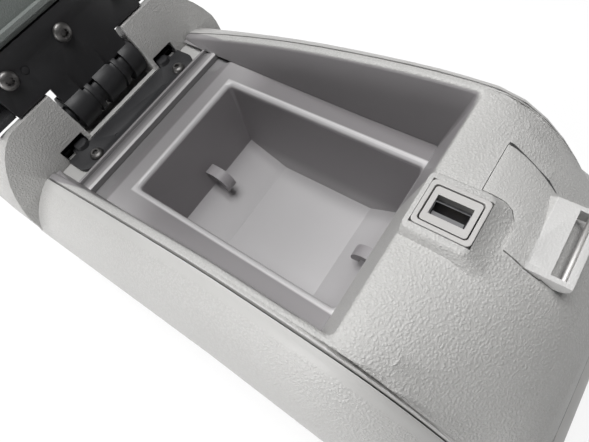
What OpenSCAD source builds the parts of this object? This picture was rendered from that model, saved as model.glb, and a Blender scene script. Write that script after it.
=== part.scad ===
// Centre armrest box for a car: open-topped storage box with a rear-hinged padded lid.
// X points to the front, Y to the left, Z up. The origin is the middle of the
// four console bolts, on the plane that the box stands on.

/* [Body] */
// Where the side bands of the trim end, behind the storage box
tail_x = -107; // [-109:0.5:-105]
// Front of the nose at its widest line
nose_x = 160; // [157:0.5:164]
// Half width of the box at its widest line
base_half_w = 86; // [83:0.5:90]
// Half width of the box where it stands
foot_half_w = 84.5; // [82:0.5:88]
// Height of the widest line
waist_z = 48; // [42:1:54]
// Half width at the seam between shell and trim, near the nose
seam_half_w = 60; // [59:0.5:62]
// How much wider the seam is at the tail, each side
seam_tail_extra = 2.5; // [1:0.25:3.5]
// Highest height of the seam
crest_z = 110; // [107:0.5:114]
// Place of the highest point of the seam
crest_x = 84; // [78:1:90]
// Height of the seam at the tail
tail_z = 73; // [72:0.25:75]
// Height at which the seam levels off around the nose
seam_low_z = 52; // [50:1:58]
// Wall of the outer shell
shell_wall = 2.5; // [2:0.1:3]
// Visible gap between shell and trim
seam_gap = 0.5; // [0.3:0.1:0.8]
// How far the shell steps down below the trim at the nose
shell_step = 1.8; // [0.5:0.1:2.5]
// Corner radius of the nose at the seam, seen from above
nose_corner = 28; // [22:1:34]
// Corner radius of the nose at the foot
foot_corner = 46; // [40:1:52]
// How far the foot of the nose stands ahead of its seam
nose_flare = 5; // [3:0.5:8]

/* [Trim] */
// Half width of the storage opening at its top edge
open_half_w = 55.2; // [54:0.2:56]
// Half width of the storage opening where it meets the liner
open_low_half_w = 52.9; // [51:0.1:53.5]
// Front edge of the storage opening at its top
open_front_x = 79; // [77:0.5:82]
// Front edge of the storage opening where it meets the liner
open_low_front_x = 67.5; // [67:0.1:69]
// Wall of the deck over the nose
deck_wall = 2.6; // [2.2:0.1:3.2]
// Rounding of the top edge of the opening
edge_round = 2.2; // [1:0.1:3]
// Crest of the ridge across the box behind the liner, distance from the origin
ridge_x = -80.2; // [-82:0.1:-78]
// Height of that ridge above the groove beside it
ridge_h = 2.4; // [1.5:0.1:3]

/* [Liner] */
// Half width of the liner inside, at its rim
bin_half_w = 40; // [37:0.5:42]
// Rear inside wall of the liner
bin_rear_x = -56; // [-58:0.5:-54]
// Front inside wall of the liner
bin_front_x = 67; // [65:0.5:67]
// Top face of the liner's flange
rim_z = 71; // [70.5:0.1:71.3]
// Inside floor of the liner
bin_floor_z = 8; // [7.5:0.5:12]
// Height at which both ramps of the floor meet the end walls
ramp_z = 22; // [18:0.5:28]
// Wall of the liner
bin_wall = 2.2; // [1.8:0.1:2.6]
// Thickness of the flange
flange_t = 2.2; // [1.8:0.1:2.4]
// How far the flange reaches behind the rear wall
flange_rear = 13.8; // [12:0.2:15]
// Width of the two hooks
hook_w = 7; // [5:0.5:9]
// Reach of the two hooks from their walls
hook_reach = 16; // [12:0.5:19]

/* [Hinge] */
// Hinge axis, distance behind the origin
axis_x = -122; // [-122.5:0.1:-121.5]
// Hinge axis height
axis_z = 80; // [79.6:0.1:80.4]
// Radius of the barrel on the lid arm
barrel_r = 11.3; // [10:0.1:11.6]
// Radius of the steel hinge pin
pin_r = 3; // [2.5:0.1:3.5]
// Running clearance of the barrel on the pin
pin_fit = 0.05; // [0.02:0.01:0.09]
// Half gap between the two hinge ears
ear_gap = 28.7; // [28.2:0.1:29.5]
// Top of the hinge ears
ear_top_z = 99.5; // [99:0.1:99.9]
// Lean of the front faces of the ears, run for each unit of height
ear_lean = 0.329; // [0.3:0.01:0.35]
// Opening angle of the lid in the modelled position
lid_open = 96; // [90:1:100]

/* [Lid] */
// Front end of the lid when it is shut
lid_front_x = 143; // [141:0.5:146]
// Half width of the lid shell
lid_half_w = 61; // [60:0.5:62]
// Underside of the hinge arm when the lid is shut
arm_z = 74.5; // [74.4:0.05:75]
// Thickness of the hinge arm
arm_t = 3; // [2.5:0.1:3.5]
// Wall of the lid shell
lid_wall = 2.4; // [2:0.1:3]
// Gap between lid and trim when the lid is shut
lid_gap = 1.6; // [1.4:0.1:2.4]
// Thickness of the pad
pad_t = 17; // [13:0.5:22]
// Distance between neighbouring lid screws
lid_screw_pitch = 37; // [34:0.5:39]

/* [Socket] */
// Middle of the charging socket, ahead of the origin
usb_x = 91.8; // [91:0.1:92.6]
// Length of the socket bezel, front to back
usb_len = 20.9; // [20:0.1:21.6]
// Width of the socket bezel
usb_w = 18.6; // [18:0.1:19.4]
// Top face of the socket boss
boss_z = 114; // [113:0.1:115]

/* [Catch] */
// Rear edge of the flat catch tongue
tongue_x = 119.3; // [118.5:0.1:120]
// Length of the catch tongue
tongue_len = 14.6; // [13:0.1:15.5]
// Width of the catch tongue
tongue_w = 30; // [28:0.5:32]
// Middle of the catch tongue, to the left of the middle plane
tongue_y = 12.4; // [11:0.1:13]
// Top face of the catch tongue
tongue_z = 105; // [104.4:0.1:105.6]
// Radius of the steel catch bar
bar_r = 1; // [0.8:0.1:1.2]

/* [Console mount] */
// Hole distance front to back
bolt_dx = 190; // [180:1:200]
// Hole distance side to side
bolt_dy = 124; // [116:1:130]
// Hole radius for the console bolts
bolt_r = 3.3; // [2.7:0.1:4.3]

/* [Hidden] */

fit_gap = 0.3;
shell_power = 1.5;
ear_power = 1.6;
side_steps = 18;
side_power = 1.5;
corner_steps = 14;
front_steps = 6;
eps = 0.01;

rise_power = 1.65;
fall_power = 1.85;
fall_drop = 26.7;
fall_run = 40;
crown_power = 2.2;
crown_rise = 0.5;
nose_arc_x = 94;
nose_arc_z = 40;

// Height of the seam along the box; the drop over the nose levels off at seam_low_z
fall_rest = crest_z - fall_drop - seam_low_z;
function fall(x) = fall_drop * pow((x - crest_x) / fall_run, fall_power);
function seam_z(x) = x <= crest_x
    ? crest_z - (crest_z - tail_z) * pow((crest_x - x) / (crest_x - tail_x), rise_power)
    : crest_z - (fall(x) < fall_drop ? fall(x)
        : fall_drop + fall_rest * (1 - exp((fall_drop - fall(x)) / fall_rest)));

// Height of the deck on the middle plane, a quarter ellipse over the nose
function middle_z(x) = x <= nose_arc_x
    ? max(seam_z(x), x > crest_x ? crest_z : 0) + crown_rise
    : nose_arc_z + (crest_z + crown_rise - nose_arc_z)
        * sqrt(max(0, 1 - pow((x - nose_arc_x) / (nose_x - nose_arc_x), 2)));

// Height of the deck anywhere, falling from the middle to the seam
function deck_z(x, y) =
    middle_z(x) - (middle_z(x) - seam_z(x)) * pow(abs(y) / seam_half_w, crown_power);

// Extra half width towards the tail
taper_start = 24;
function tail_extra(x) = seam_tail_extra * max(0, (taper_start - x) / (taper_start - tail_x));

// One U-shaped outline around the box, from the right tail over the nose to the left tail
function half_outline(front, half, r, start) = concat(
    [for (i = [0:side_steps]) let (x = front - r - (front - r - start) * pow(1 - i / side_steps, side_power))
        [x, -half - tail_extra(x)]],
    [for (i = [1:corner_steps]) let (a = -90 + 90 * i / corner_steps)
        [front - r + r * cos(a), -half + r + r * sin(a)]],
    [for (i = [1:front_steps / 2]) [front, (-half + r) * (1 - 2 * i / front_steps)]]);
function u_outline(front, half, r, start = tail_x) = let (h = half_outline(front, half, r, start), n = len(h))
    concat(h, [for (i = [n - 2:-1:0]) [h[i][0], -h[i][1]]]);

// Skin swept along stacked rings of equal length and closed across them; cap lists the triangles of
// ring numbers that close both ends
module ring_sweep(rings, cap) {
    n = len(rings[0]);
    k = len(rings);
    polyhedron(
        points = [for (ring = rings) each ring],
        faces = concat(
            [for (a = [0:k - 1], j = [0:n - 2]) let (p = a * n + j, q = (a + 1) % k * n + j)
                each split_quad(p, p + 1, q + 1, q)],
            [for (t = cap) [for (a = t) a * n]],
            [for (t = cap) [for (a = turned_round(t)) a * n + n - 1]]),
        convexity = 8);
}
function split_quad(a, b, c, d) = [[a, b, c], [a, c, d]];
// Caps of a section whose first half of rings runs outside and second half back inside
function strip_cap(k) = [for (a = [0:k / 2 - 2]) each split_quad(a, a + 1, k - 2 - a, k - 1 - a)];
// Caps of the trim: a fan from the band's inner ring over all rings but the flat's outer one
function trim_cap(k) = concat([[1, 2, 3], [0, 1, 3]], [for (a = [3:k - 2]) [0, a, a + 1]]);

function turned_round(v) = [for (i = [len(v) - 1:-1:0]) v[i]];

// Solid through stacked convex rings of equal length, listed from the top down
module ring_stack(rings) {
    n = len(rings[0]);
    k = len(rings);
    polyhedron(
        points = [for (ring = rings) each ring],
        faces = concat(
            [for (a = [0:k - 2], j = [0:n - 1]) let (p = a * n + j, q = a * n + (j + 1) % n)
                each split_quad(p, q, q + n, p + n)],
            [for (j = [1:n - 2]) [0, j + 1, j]],
            [for (j = [1:n - 2]) let (e = (k - 1) * n) [e, e + j, e + j + 1]]),
        convexity = 4);
}

// Solid block under a surface, over a plan that may change width along X
module surface_block(xs, half, rows, floor_z, top) {
    n = len(xs);
    upper = [for (x = xs, j = [0:rows]) let (y = half(x) * (2 * j / rows - 1)) [x, y, top(x, y)]];
    lower = [for (p = upper) [p[0], p[1], floor_z]];
    w = rows + 1;
    m = n * w;
    polyhedron(
        points = concat(upper, lower),
        faces = concat(
            [for (i = [0:n - 2], j = [0:rows - 1]) let (p = i * w + j)
                each split_quad(p, p + 1, p + w + 1, p + w)],
            [for (i = [0:n - 2], j = [0:rows - 1]) let (p = m + i * w + j)
                each split_quad(p, p + w, p + w + 1, p + 1)],
            [for (i = [0:n - 2]) let (p = i * w) each split_quad(p, p + w, m + p + w, m + p)],
            [for (i = [0:n - 2]) let (p = i * w + rows) each split_quad(p, m + p, m + p + w, p + w)],
            [for (j = [0:rows - 1]) each split_quad(j, m + j, m + j + 1, j + 1)],
            [for (j = [0:rows - 1]) let (p = (n - 1) * w + j)
                each split_quad(p, p + 1, m + p + 1, m + p)]),
        convexity = 6);
}

// Rounded rectangle as a plain polygon, corners as short chords
function arc_points(cx, cy, r, from, to, n) =
    [for (i = [0:n]) let (a = from + (to - from) * i / n) [cx + r * cos(a), cy + r * sin(a)]];
function round_rect(x0, x1, half, r0, r1, n = 6) = concat(
    arc_points(x0 + r0, -half + r0, r0, 180, 270, n),
    arc_points(x1 - r1, -half + r1, r1, 270, 360, n),
    arc_points(x1 - r1, half - r1, r1, 0, 90, n),
    arc_points(x0 + r0, half - r0, r0, 90, 180, n));

// Outline in the X-Z plane, given as [x, z] points, extruded across Y
module across(points, y0, y1) {
    translate([0, y1, 0]) rotate([90, 0, 0]) linear_extrude(y1 - y0) polygon(points);
}
// Outline in the Y-Z plane, given as [y, z] points, extruded along X
module along(points, x0, x1) {
    translate([x0, 0, 0]) rotate([90, 0, 90]) linear_extrude(x1 - x0) polygon(points);
}
module y_rod(x, z, r, y0, y1) {
    translate([x, y0, z]) rotate([-90, 0, 0]) cylinder(r = r, h = y1 - y0, $fn = 48);
}
module block(x0, x1, y0, y1, z0, z1) {
    translate([x0, y0, z0]) cube([x1 - x0, y1 - y0, z1 - z0]);
}
module both_sides() {
    children();
    mirror([0, 1, 0]) children();
}

// Outer shell, cross-section of one side

skirt_steps = 9;
seam_front = nose_x - 2;
// Step of the shell below the trim, growing over the front
step_x0 = 62;
step_x1 = 140;
function seam_step(x) = shell_step * max(0, min(1, (x - step_x0) / (step_x1 - step_x0)));
function skirt_s(k) = pow(sin(90 * k / skirt_steps), 2 / shell_power);
function skirt_c(k) = pow(cos(90 * k / skirt_steps), 2 / shell_power);
seam_line = u_outline(seam_front, seam_half_w, nose_corner);
// The shell runs on a little behind the trim, into the hinge tower
shell_tail_x = tail_x - 4;
shell_seam = u_outline(seam_front, seam_half_w, nose_corner, shell_tail_x);
// Ring k of the shell skin, pulled in by wall and lowered by drop at the seam
function skirt_ring(k, wall) = let (
    s = skirt_s(k), c = skirt_c(k), first = seam_half_w + seam_gap, span = base_half_w - wall - first,
    o = u_outline(seam_front + seam_gap + (nose_flare - wall) * s, first + span * s,
        nose_corner + (foot_corner - nose_corner) * s, shell_tail_x))
    [for (j = [0:len(o) - 1])
        [o[j][0], o[j][1], waist_z + (deck_z(shell_seam[j][0], shell_seam[j][1]) - fit_gap
            - seam_step(shell_seam[j][0]) - wall - waist_z) * c]];
function foot_ring(wall) =
    [for (p = u_outline(seam_front + nose_flare - wall, foot_half_w - wall, foot_corner, shell_tail_x))
        [p[0], p[1], 0]];

// Half width of the shell skin at a height below the seam
function shell_half(x, z) = let (c = (z - waist_z) / (seam_z(x) - fit_gap - seam_step(x) - waist_z),
    s = pow(max(0, 1 - pow(max(0, c), shell_power)), 1 / shell_power))
    seam_half_w + seam_gap + (base_half_w - seam_half_w - seam_gap) * s + tail_extra(x);

// Hinge tower behind the box, with two ears
tower_rear_x = -152;
tower_wall = 2.6;
tower_flat_y = 55;
tower_side_z = 60;
tower_half_w = base_half_w + seam_tail_extra - 2;
tower_inset = 0.4;
// How far the upper opening between box and tower stays inside the widest line
tower_open_in = 16;
tower_foot_half = foot_half_w + seam_tail_extra - tower_inset;
face_z = 77.4;
face_x = -109.8;
face_low_x = -107.4;
function face_at(z) = face_x - ear_lean * (z - face_z);
tower_steps = 9;
function tower_edge(wall) = concat(
    [for (i = [0:tower_steps]) let (a = 90 * i / tower_steps)
        [tower_flat_y + (tower_half_w - wall - tower_flat_y) * pow(sin(a), 2 / ear_power),
         tower_side_z + (ear_top_z - wall - tower_side_z) * pow(cos(a), 2 / ear_power)]],
    [[base_half_w + seam_tail_extra - tower_inset - wall, waist_z], [tower_foot_half - wall, -wall]]);
function tower_section(wall) = let (e = tower_edge(wall), n = len(e))
    concat(e, [for (i = [n - 1:-1:0]) [-e[i][0], e[i][1]]]);
ear_depth = 8;
rear_lean_x = 21;
function tower_profile(wall) = [
    [tower_rear_x + wall, -wall],
    [tower_rear_x + 2 + wall, waist_z],
    [tower_rear_x + rear_lean_x + wall, ear_top_z - 8 - wall],
    [face_at(ear_top_z) - ear_depth + 1.5 + wall, ear_top_z - 2 - wall],
    [face_at(ear_top_z) - ear_depth + 4, ear_top_z - wall],
    [face_at(ear_top_z) - wall, ear_top_z - wall],
    [face_low_x - wall, face_z - (face_low_x - face_x) / ear_lean],
    [face_low_x - wall, -wall]];
tower_corner = 24;
module tower_body(wall) {
    intersection() {
        along(tower_section(wall), tower_rear_x - 5, face_low_x + 5);
        across(tower_profile(wall), -base_half_w - 10, base_half_w + 10);
        translate([0, 0, -wall - 1]) linear_extrude(ear_top_z + wall + 2)
            polygon(round_rect(tower_rear_x + wall, face_low_x + 20, base_half_w + 5 - wall,
                tower_corner, 1, 7));
    }
}

// Shelf inside the shell that carries bracket, trim and liner
shelf_top = rim_z - flange_t - fit_gap;
shelf_t = 2.3;
shelf_x0 = -112;
shelf_x1 = 112;
shelf_bite = 0.2;
tub_room = 3;
shelf_open_x0 = bin_rear_x - bin_wall - tub_room + 0.2;
shelf_open_half = bin_half_w + bin_wall + tub_room + 0.3;
shelf_stations = 12;
// The shelf reaches through most of the shell's wall
function shelf_half(x) = shell_half(max(x, tail_x), shelf_top) - shell_wall * (1 - shelf_bite);
module shelf_plan() {
    xs = [for (i = [0:shelf_stations]) shelf_x0 + (shelf_x1 - shelf_x0) * i / shelf_stations];
    polygon(concat([for (x = xs) [x, -shelf_half(x)]], [for (x = turned_round(xs)) [x, shelf_half(x)]]));
}

// Screw places
pan_screw_x = [-92, 4, 100];
pan_screw_in = 6.5;
function pan_screw_y(x) = foot_half_w + tail_extra(x) - pan_screw_in;
trim_screw_x = [bin_rear_x - 10, open_front_x + 17];
trim_screw_y = open_low_half_w - 3.5;
flange_skin = 0.6;
trim_screw_len = [rim_z - flange_skin - fit_gap - (shelf_top - shelf_t - fit_gap), 11];
bracket_screw_x = -94.9;
bracket_screw_y = 36.2;
screw_core = 1.5;

channel_floor = 66;
rib_x0 = -110.4;
rib_t = 3;
rib_top = rim_z + 0.3;
window_y0 = 31.4;
window_y1 = 47.9;
window_top = 76.8;
cheek_t = 2.5;
spacer_r = 5.4;

module outer_shell() color([0.52, 0.51, 0.5]) {
    difference() {
        union() {
            ring_sweep(concat(
                [for (k = [0:skirt_steps]) skirt_ring(k, 0)],
                [foot_ring(0), foot_ring(shell_wall)],
                [for (k = [skirt_steps:-1:0]) skirt_ring(k, shell_wall)]), strip_cap(2 * skirt_steps + 4));
            difference() {
                tower_body(0);
                difference() {
                    tower_body(tower_wall);
                    block(tower_rear_x, face_x + 20, -ear_gap - cheek_t, ear_gap + cheek_t,
                        channel_floor - cheek_t, ear_top_z + 5);
                    block(rib_x0 - eps, face_x + 20, -tower_half_w, tower_half_w, shelf_top - shelf_t,
                        shelf_top);
                }
                block(face_low_x - tower_wall - 1, face_low_x + 6, 1 + tower_wall - tower_foot_half,
                    tower_foot_half - tower_wall - 1, -1, waist_z + 5);
                block(face_low_x - tower_wall - 1, face_low_x + 6, tower_open_in - base_half_w,
                    base_half_w - tower_open_in, waist_z, shelf_top - shelf_t);
                block(tower_rear_x - 1, rib_x0, -ear_gap, ear_gap, channel_floor, ear_top_z + 1);
                block(rib_x0 - eps, face_x + 20, -ear_gap, ear_gap, rib_top, ear_top_z + 1);
            }
            difference() {
                translate([0, 0, shelf_top - shelf_t]) linear_extrude(shelf_t) shelf_plan();
                block(shelf_open_x0, bin_front_x + bin_wall + 2, -shelf_open_half, shelf_open_half,
                    shelf_top - shelf_t - 1, shelf_top + 1);
                block(bin_front_x + bin_wall + 12, shelf_x1 - 12, -40, 40, shelf_top - shelf_t - 1,
                    shelf_top + 1);
            }
            block(rib_x0, rib_x0 + rib_t, -ear_gap - 1, ear_gap + 1, shelf_top - shelf_t, rib_top);
            both_sides() for (x = pan_screw_x)
                translate([x, pan_screw_y(x), pan_boss_z]) cylinder(r = pan_boss_r, h = 16, $fn = 32);
            both_sides() translate([bracket_screw_x, bracket_screw_y, shelf_top - 8])
                cylinder(r = 4, h = 8 - eps, $fn = 32);
        }
        both_sides() {
            block(face_at(window_top) - 6, face_x + 6, window_y0, window_y1, shelf_top, window_top);
            y_rod(axis_x, axis_z, spacer_r + fit_gap, ear_gap - 1, ear_gap + cheek_t + 1);
            for (x = pan_screw_x) translate([x, pan_screw_y(x), 0])
                cylinder(r = screw_core, h = 18, $fn = 24);
            translate([bracket_screw_x, bracket_screw_y, shelf_top - 7])
                cylinder(r = screw_core, h = 8, $fn = 24);
            for (x = trim_screw_x) translate([x, trim_screw_y, shelf_top - 8])
                cylinder(r = 2, h = 9, $fn = 24);
        }
    }
}

// Upper trim: side bands, deck over the nose, socket boss and cross ridge

skirt_drop = 8;
inner_wall = 2.3;
edge_chamfer = 0.7;
trim_bottom = rim_z + fit_gap;
nose_rings = 7;
// Deck ring between the seam (u = 0) and the storage opening (u = 1)
function deck_front(u) = let (a = 14 + 76 * min(1, u / 0.75))
    u < 0.75 ? nose_arc_x + (nose_x - nose_arc_x) * cos(a)
        : nose_arc_x + (open_front_x + edge_round - nose_arc_x) * (u - 0.75) / 0.25;
open_corner = 2.6;
function deck_half(u) = seam_half_w - edge_chamfer
    + (open_half_w + edge_round - seam_half_w + edge_chamfer) * u;
function deck_ring(u) =
    [for (p = u_outline(deck_front(u), deck_half(u),
        nose_corner + (open_corner + edge_round - nose_corner) * u))
        [p[0], p[1], deck_z(p[0], p[1])]];
function edge_ring(a) = let (in = edge_round * (1 - sin(a)), down = edge_round * (1 - cos(a)))
    [for (p = u_outline(open_front_x + in, open_half_w + in, open_corner + in))
        [p[0], p[1], deck_z(p[0], p[1]) - down]];
function flat_ring(front, half, r, z) = [for (p = u_outline(front, half, r)) [p[0], p[1], z]];
function band_low_z(p) = let (z = deck_z(p[0], p[1]) - skirt_drop)
    p[0] < shelf_x1 ? max(shelf_top + fit_gap, z) : z;
function skirt_low_ring() = [for (p = seam_line) [p[0], p[1], band_low_z(p)]];
function band_inner_ring() =
    [for (p = u_outline(open_front_x + inner_wall, open_half_w + inner_wall, open_corner))
        [p[0], p[1], band_low_z(p)]];
function seam_low_ring() = [for (p = seam_line) [p[0], p[1], deck_z(p[0], p[1]) - 1.2]];
function seam_top_ring() =
    [for (p = u_outline(seam_front - edge_chamfer, seam_half_w - edge_chamfer, nose_corner))
        [p[0], p[1], deck_z(p[0], p[1])]];

boss_half_w = 12.4;
boss_x1 = 102.6;
// Boss from the top down: depth, growth of its outline, corner radius
boss_steps = [[0, -1, 2.2], [0.3, -0.3, 2.6], [1.1, 0.6, 3], [2.4, 2, 3.4], [4, 4.2, 4], [5.4, 6.2, 4.6],
    [6.8, 8.2, 5], [13, 8.8, 5]];
boss_side_share = 0.45;
usb_depth = 16;
ridge_half = 1.2;
groove_z = rim_z - 1.4;
lip_x = -90;
// Cross-section of the bar between liner and hinge bracket
cross_profile = [
    [lip_x, shelf_top + fit_gap], [lip_x, rim_z + 0.4], [lip_x + 1.4, rim_z + 0.4], [lip_x + 1.8, groove_z],
    [lip_x + 2.4, groove_z], [ridge_x - ridge_half, groove_z + ridge_h - 0.2], [ridge_x, groove_z + ridge_h],
    [ridge_x + ridge_half, groove_z + ridge_h - 0.5], [ridge_x + ridge_half + 0.8, shelf_top + fit_gap]];

// Plan of the catch insert, as corners seen from above, with an arc on the far side and a bite at the boss
insert_rear_x = 96.8;
root_x = tongue_x + 5.7;
insert_plan = [[insert_rear_x, boss_half_w + 2.4], [insert_rear_x, 37.7], [99.4, 37.6], [103, 36.9],
    [106.9, 35.6],
    [111, 34], [115, 32.2], [tongue_x - 0.6, 30.4], [root_x, tongue_y + tongue_w / 2],
    [root_x, tongue_y - tongue_w / 2], [tongue_x, tongue_y - tongue_w / 2], [111.2, -1.4],
    [111, 6.2], [110.2, 10], [108.2, 13], [105.4, 14.5], [101.5, boss_half_w + 2.5]];

function cavity_half(x) = let (edge = seam_front - 3.2, r = nose_corner)
    x < edge - r ? seam_half_w - 4 : seam_half_w - 4 - r + sqrt(max(1, r * r - pow(x - edge + r, 2)));
insert_mid = [insert_rear_x + 12.6, tongue_y + 9.6];
insert_screw_x = insert_rear_x + 4.7;
insert_screw_y = [19, 30];
insert_post_z = 100;
insert_t = 2.4;
insert_ground_xs = [94, 100, 104, 108, 112, 116, 120, root_x + 3];
insert_top_xs = [96, 100, 104, 108, 112, 116, 120, root_x];
cavity_xs = concat([open_front_x + edge_round + deck_wall + 1.5, 92, 101, 110, 118, 125, 131],
    [for (a = [50:-12:14]) seam_front - 3.2 - nose_corner + nose_corner * cos(a)]);

module upper_trim() color([0.56, 0.55, 0.54]) {
    difference() {
        union() {
            ring_sweep(turned_round(concat(
                [skirt_low_ring(), seam_low_ring(), seam_top_ring()],
                [for (i = [1:nose_rings]) deck_ring(i / nose_rings * 0.999)],
                [edge_ring(30), edge_ring(60), edge_ring(90)],
                [flat_ring(open_low_front_x, open_low_half_w, open_corner - 2, trim_bottom),
                 flat_ring(open_low_front_x + inner_wall, open_low_half_w + inner_wall, open_corner,
                     trim_bottom),
                 band_inner_ring()])), trim_cap(nose_rings + 9));
            across(cross_profile, -open_half_w - 2, open_half_w + 2);
            ring_stack([for (b = boss_steps)
                let (in = max(0, -b[1]), out = max(0, b[1]))
                [for (p = round_rect(open_front_x + 0.2 + in, boss_x1 + b[1],
                    boss_half_w + boss_side_share * out - in,
                    2.5, b[2], 6)) [p[0], p[1], boss_z - b[0]]]]);
            both_sides() translate([trim_screw_x[1], trim_screw_y, trim_bottom])
                cylinder(r = 4, h = deck_z(trim_screw_x[1], trim_screw_y) - trim_bottom - 1.5, $fn = 32);
        }
        difference() {
            union() {
                difference() {
                    nose_cavity(deck_wall + 0.4);
                    translate([0, 0, 60]) linear_extrude(60) grown_plan(2.4);
                }
                nose_cavity(deck_wall + insert_t);
            }
            block(open_front_x, boss_x1 + 6, -boss_half_w - 2, boss_half_w + 2, boss_z - usb_depth - 3,
                boss_z);
            both_sides() translate([trim_screw_x[1], trim_screw_y, 30]) cylinder(r = 4, h = 80, $fn = 32);
            for (y = insert_screw_y) translate([insert_screw_x, y, insert_post_z])
                cylinder(r = 5.2, h = 20, $fn = 32);
        }
        difference() {
            translate([0, 0, 60]) linear_extrude(60) grown_plan(fit_gap);
            surface_block(insert_ground_xs, function(x) 44, 14, 50, function(x, y) deck_z(x,
                y) - insert_t - fit_gap);
        }
        for (y = insert_screw_y) translate([insert_screw_x, y, 60]) cylinder(r = 2.9, h = 60, $fn = 32);
        block(usb_x - usb_len / 2 - 0.2, usb_x + usb_len / 2 + 0.2, -usb_w / 2 - 0.2, usb_w / 2 + 0.2,
            boss_z - usb_depth, boss_z + 1);
        block(usb_x - usb_len / 2 + 1.5, usb_x + usb_len / 2 - 1.5, -usb_w / 2 + 1.5, usb_w / 2 - 1.5,
            40, boss_z + 1);
        both_sides() translate([trim_screw_x[1], trim_screw_y, trim_bottom - 3])
            cylinder(r = screw_core, h = 12, $fn = 24);
    }
}
// Hollow under the deck, with the given wall over it
module nose_cavity(wall) {
    surface_block(cavity_xs, function(x) cavity_half(x), 10, 30, function(x, y) deck_z(x, y) - wall);
}
// Plan of the insert grown by a clearance, by moving each corner away from the middle
module grown_plan(g) {
    polygon([for (p = insert_plan) let (d = p - insert_mid) p + d * (g * 1.25 / norm(d))]);
}

// Storage liner

bin_draft = 3;
bin_corner = 2.4;
function bin_profile(w) = [
    [bin_rear_x - w, rim_z + 3 * (1 - w / 3)], [bin_rear_x + 2 - w, ramp_z - w / 2],
    [-27 - w / 3, bin_floor_z - w], [39 + w / 3, bin_floor_z - w],
    [bin_front_x - 3 + w, ramp_z - w / 2], [bin_front_x + w, rim_z + 3 * (1 - w / 3)]];
// Tapered tub with rounded corners, grown by w
module tub(w, top) {
    hull() {
        translate([0, 0, top]) linear_extrude(eps)
            polygon(round_rect(bin_rear_x - w, bin_front_x + w, bin_half_w + w, bin_corner, bin_corner, 5));
        translate([0, 0, bin_floor_z - w]) linear_extrude(eps)
            polygon(round_rect(bin_rear_x + 1 - w, bin_front_x - 1 + w, bin_half_w - bin_draft + w,
                bin_corner, bin_corner, 5));
    }
}
// Rounding of the rim; the front side lies at the trim's wall and stays sharp
rim_round = 3.2;
rim_steps = 5;
rim_front_room = 0.4;
function rim_ring(g, d) = let (low = max(0, d), share = (low + 3) / (rim_z + 3 - ramp_z))
    [for (p = round_rect(bin_rear_x + 2 * share - g, bin_front_x + min(g, rim_front_room),
        bin_half_w + g - bin_draft * low / (rim_z - bin_floor_z), bin_corner + g, bin_corner, 5)) [p[0],
            p[1], rim_z - d]];
module rim_cut()
    ring_stack(concat([rim_ring(rim_round, -1)], [for (i = [0:rim_steps]) let (a = 90 * i / rim_steps)
        rim_ring(rim_round * (1 - sin(a)), rim_round * (1 - cos(a)))]));
hook_t = 5;
hook_z = 37;
hook_r = 9;
// Curved hook that reaches from a wall and turns down; s is +1 or -1 along X
module hook(x, s) {
    outer = concat([[0, 0]], [for (a = [90:-15:-15]) [hook_reach - hook_r + hook_r * cos(a),
        -hook_r + hook_r * sin(a)]]);
    inner = concat([for (a = [-15:21:90]) [hook_reach - hook_r + (hook_r - hook_t) * cos(a),
        -hook_r + (hook_r - hook_t) * sin(a)]], [[0, -hook_t - 1]]);
    pts = concat(outer, inner);
    across([for (p = pts) [x + s * p[0], hook_z + p[1]]], -hook_w / 2, hook_w / 2);
}
module bin_liner() color([0.5, 0.49, 0.48]) {
    difference() {
        union() {
            intersection() {
                tub(bin_wall, rim_z - 1);
                across(bin_profile(bin_wall), -bin_half_w - 10, bin_half_w + 10);
            }
            translate([0, 0, rim_z - flange_t]) linear_extrude(flange_t)
                polygon(round_rect(bin_rear_x - flange_rear, bin_front_x + bin_wall, open_low_half_w + 3,
                    8, 3, 6));
        }
        intersection() {
            tub(0, rim_z + 1);
            across(bin_profile(0), -bin_half_w - 10, bin_half_w + 10);
        }
        rim_cut();
        both_sides() translate([trim_screw_x[0], trim_screw_y, rim_z - 5])
            cylinder(r = screw_core, h = 5 - flange_skin, $fn = 24);
    }
    hook(bin_rear_x + 0.9, 1);
    hook(bin_front_x - 0.9, -1);
}

// Base pan with four pads for the console bolts

pan_gap = 0.5;
pan_z = 2;
pan_t = 2.4;
pan_top = pan_z + pan_t;
pad_r = 9;
// Screw bosses of the shell over the pan, wide enough to reach into the wall at their lower end
pan_boss_z = pan_top + fit_gap;
pan_boss_bite = 0.353125;
pan_boss_r = pan_screw_in - shell_wall + (base_half_w - foot_half_w) * pan_boss_z / waist_z + pan_boss_bite;
pan_screw_len = 12;
pan_front = seam_front + nose_flare - shell_wall - pan_gap;
module base_pan() color([0.16, 0.16, 0.17]) {
    difference() {
        union() {
            translate([0, 0, pan_z]) linear_extrude(pan_t) intersection() {
                polygon(round_rect(tower_rear_x + tower_wall + pan_gap, pan_front,
                    tower_foot_half - tower_wall - pan_gap, tower_corner, foot_corner, 9));
                polygon(u_outline(pan_front, foot_half_w - shell_wall - pan_gap, foot_corner, tower_rear_x));
            }
            for (x = [-1, 1], y = [-1, 1]) translate([x * bolt_dx / 2, y * bolt_dy / 2, 0])
                cylinder(r = pad_r, h = pan_z + eps, $fn = 48);
            for (x = [-1, 1], y = [-1, 1]) translate([x * bolt_dx / 2, y * bolt_dy / 2, pan_top - eps])
                cylinder(r = 6.5, h = 5, $fn = 48);
        }
        for (x = [-1, 1], y = [-1, 1]) translate([x * bolt_dx / 2, y * bolt_dy / 2, -1])
            cylinder(r = bolt_r, h = 20, $fn = 48);
        both_sides() for (x = pan_screw_x) translate([x, pan_screw_y(x), -1])
            cylinder(r = 2.1, h = 9, $fn = 24);
    }
}

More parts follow.
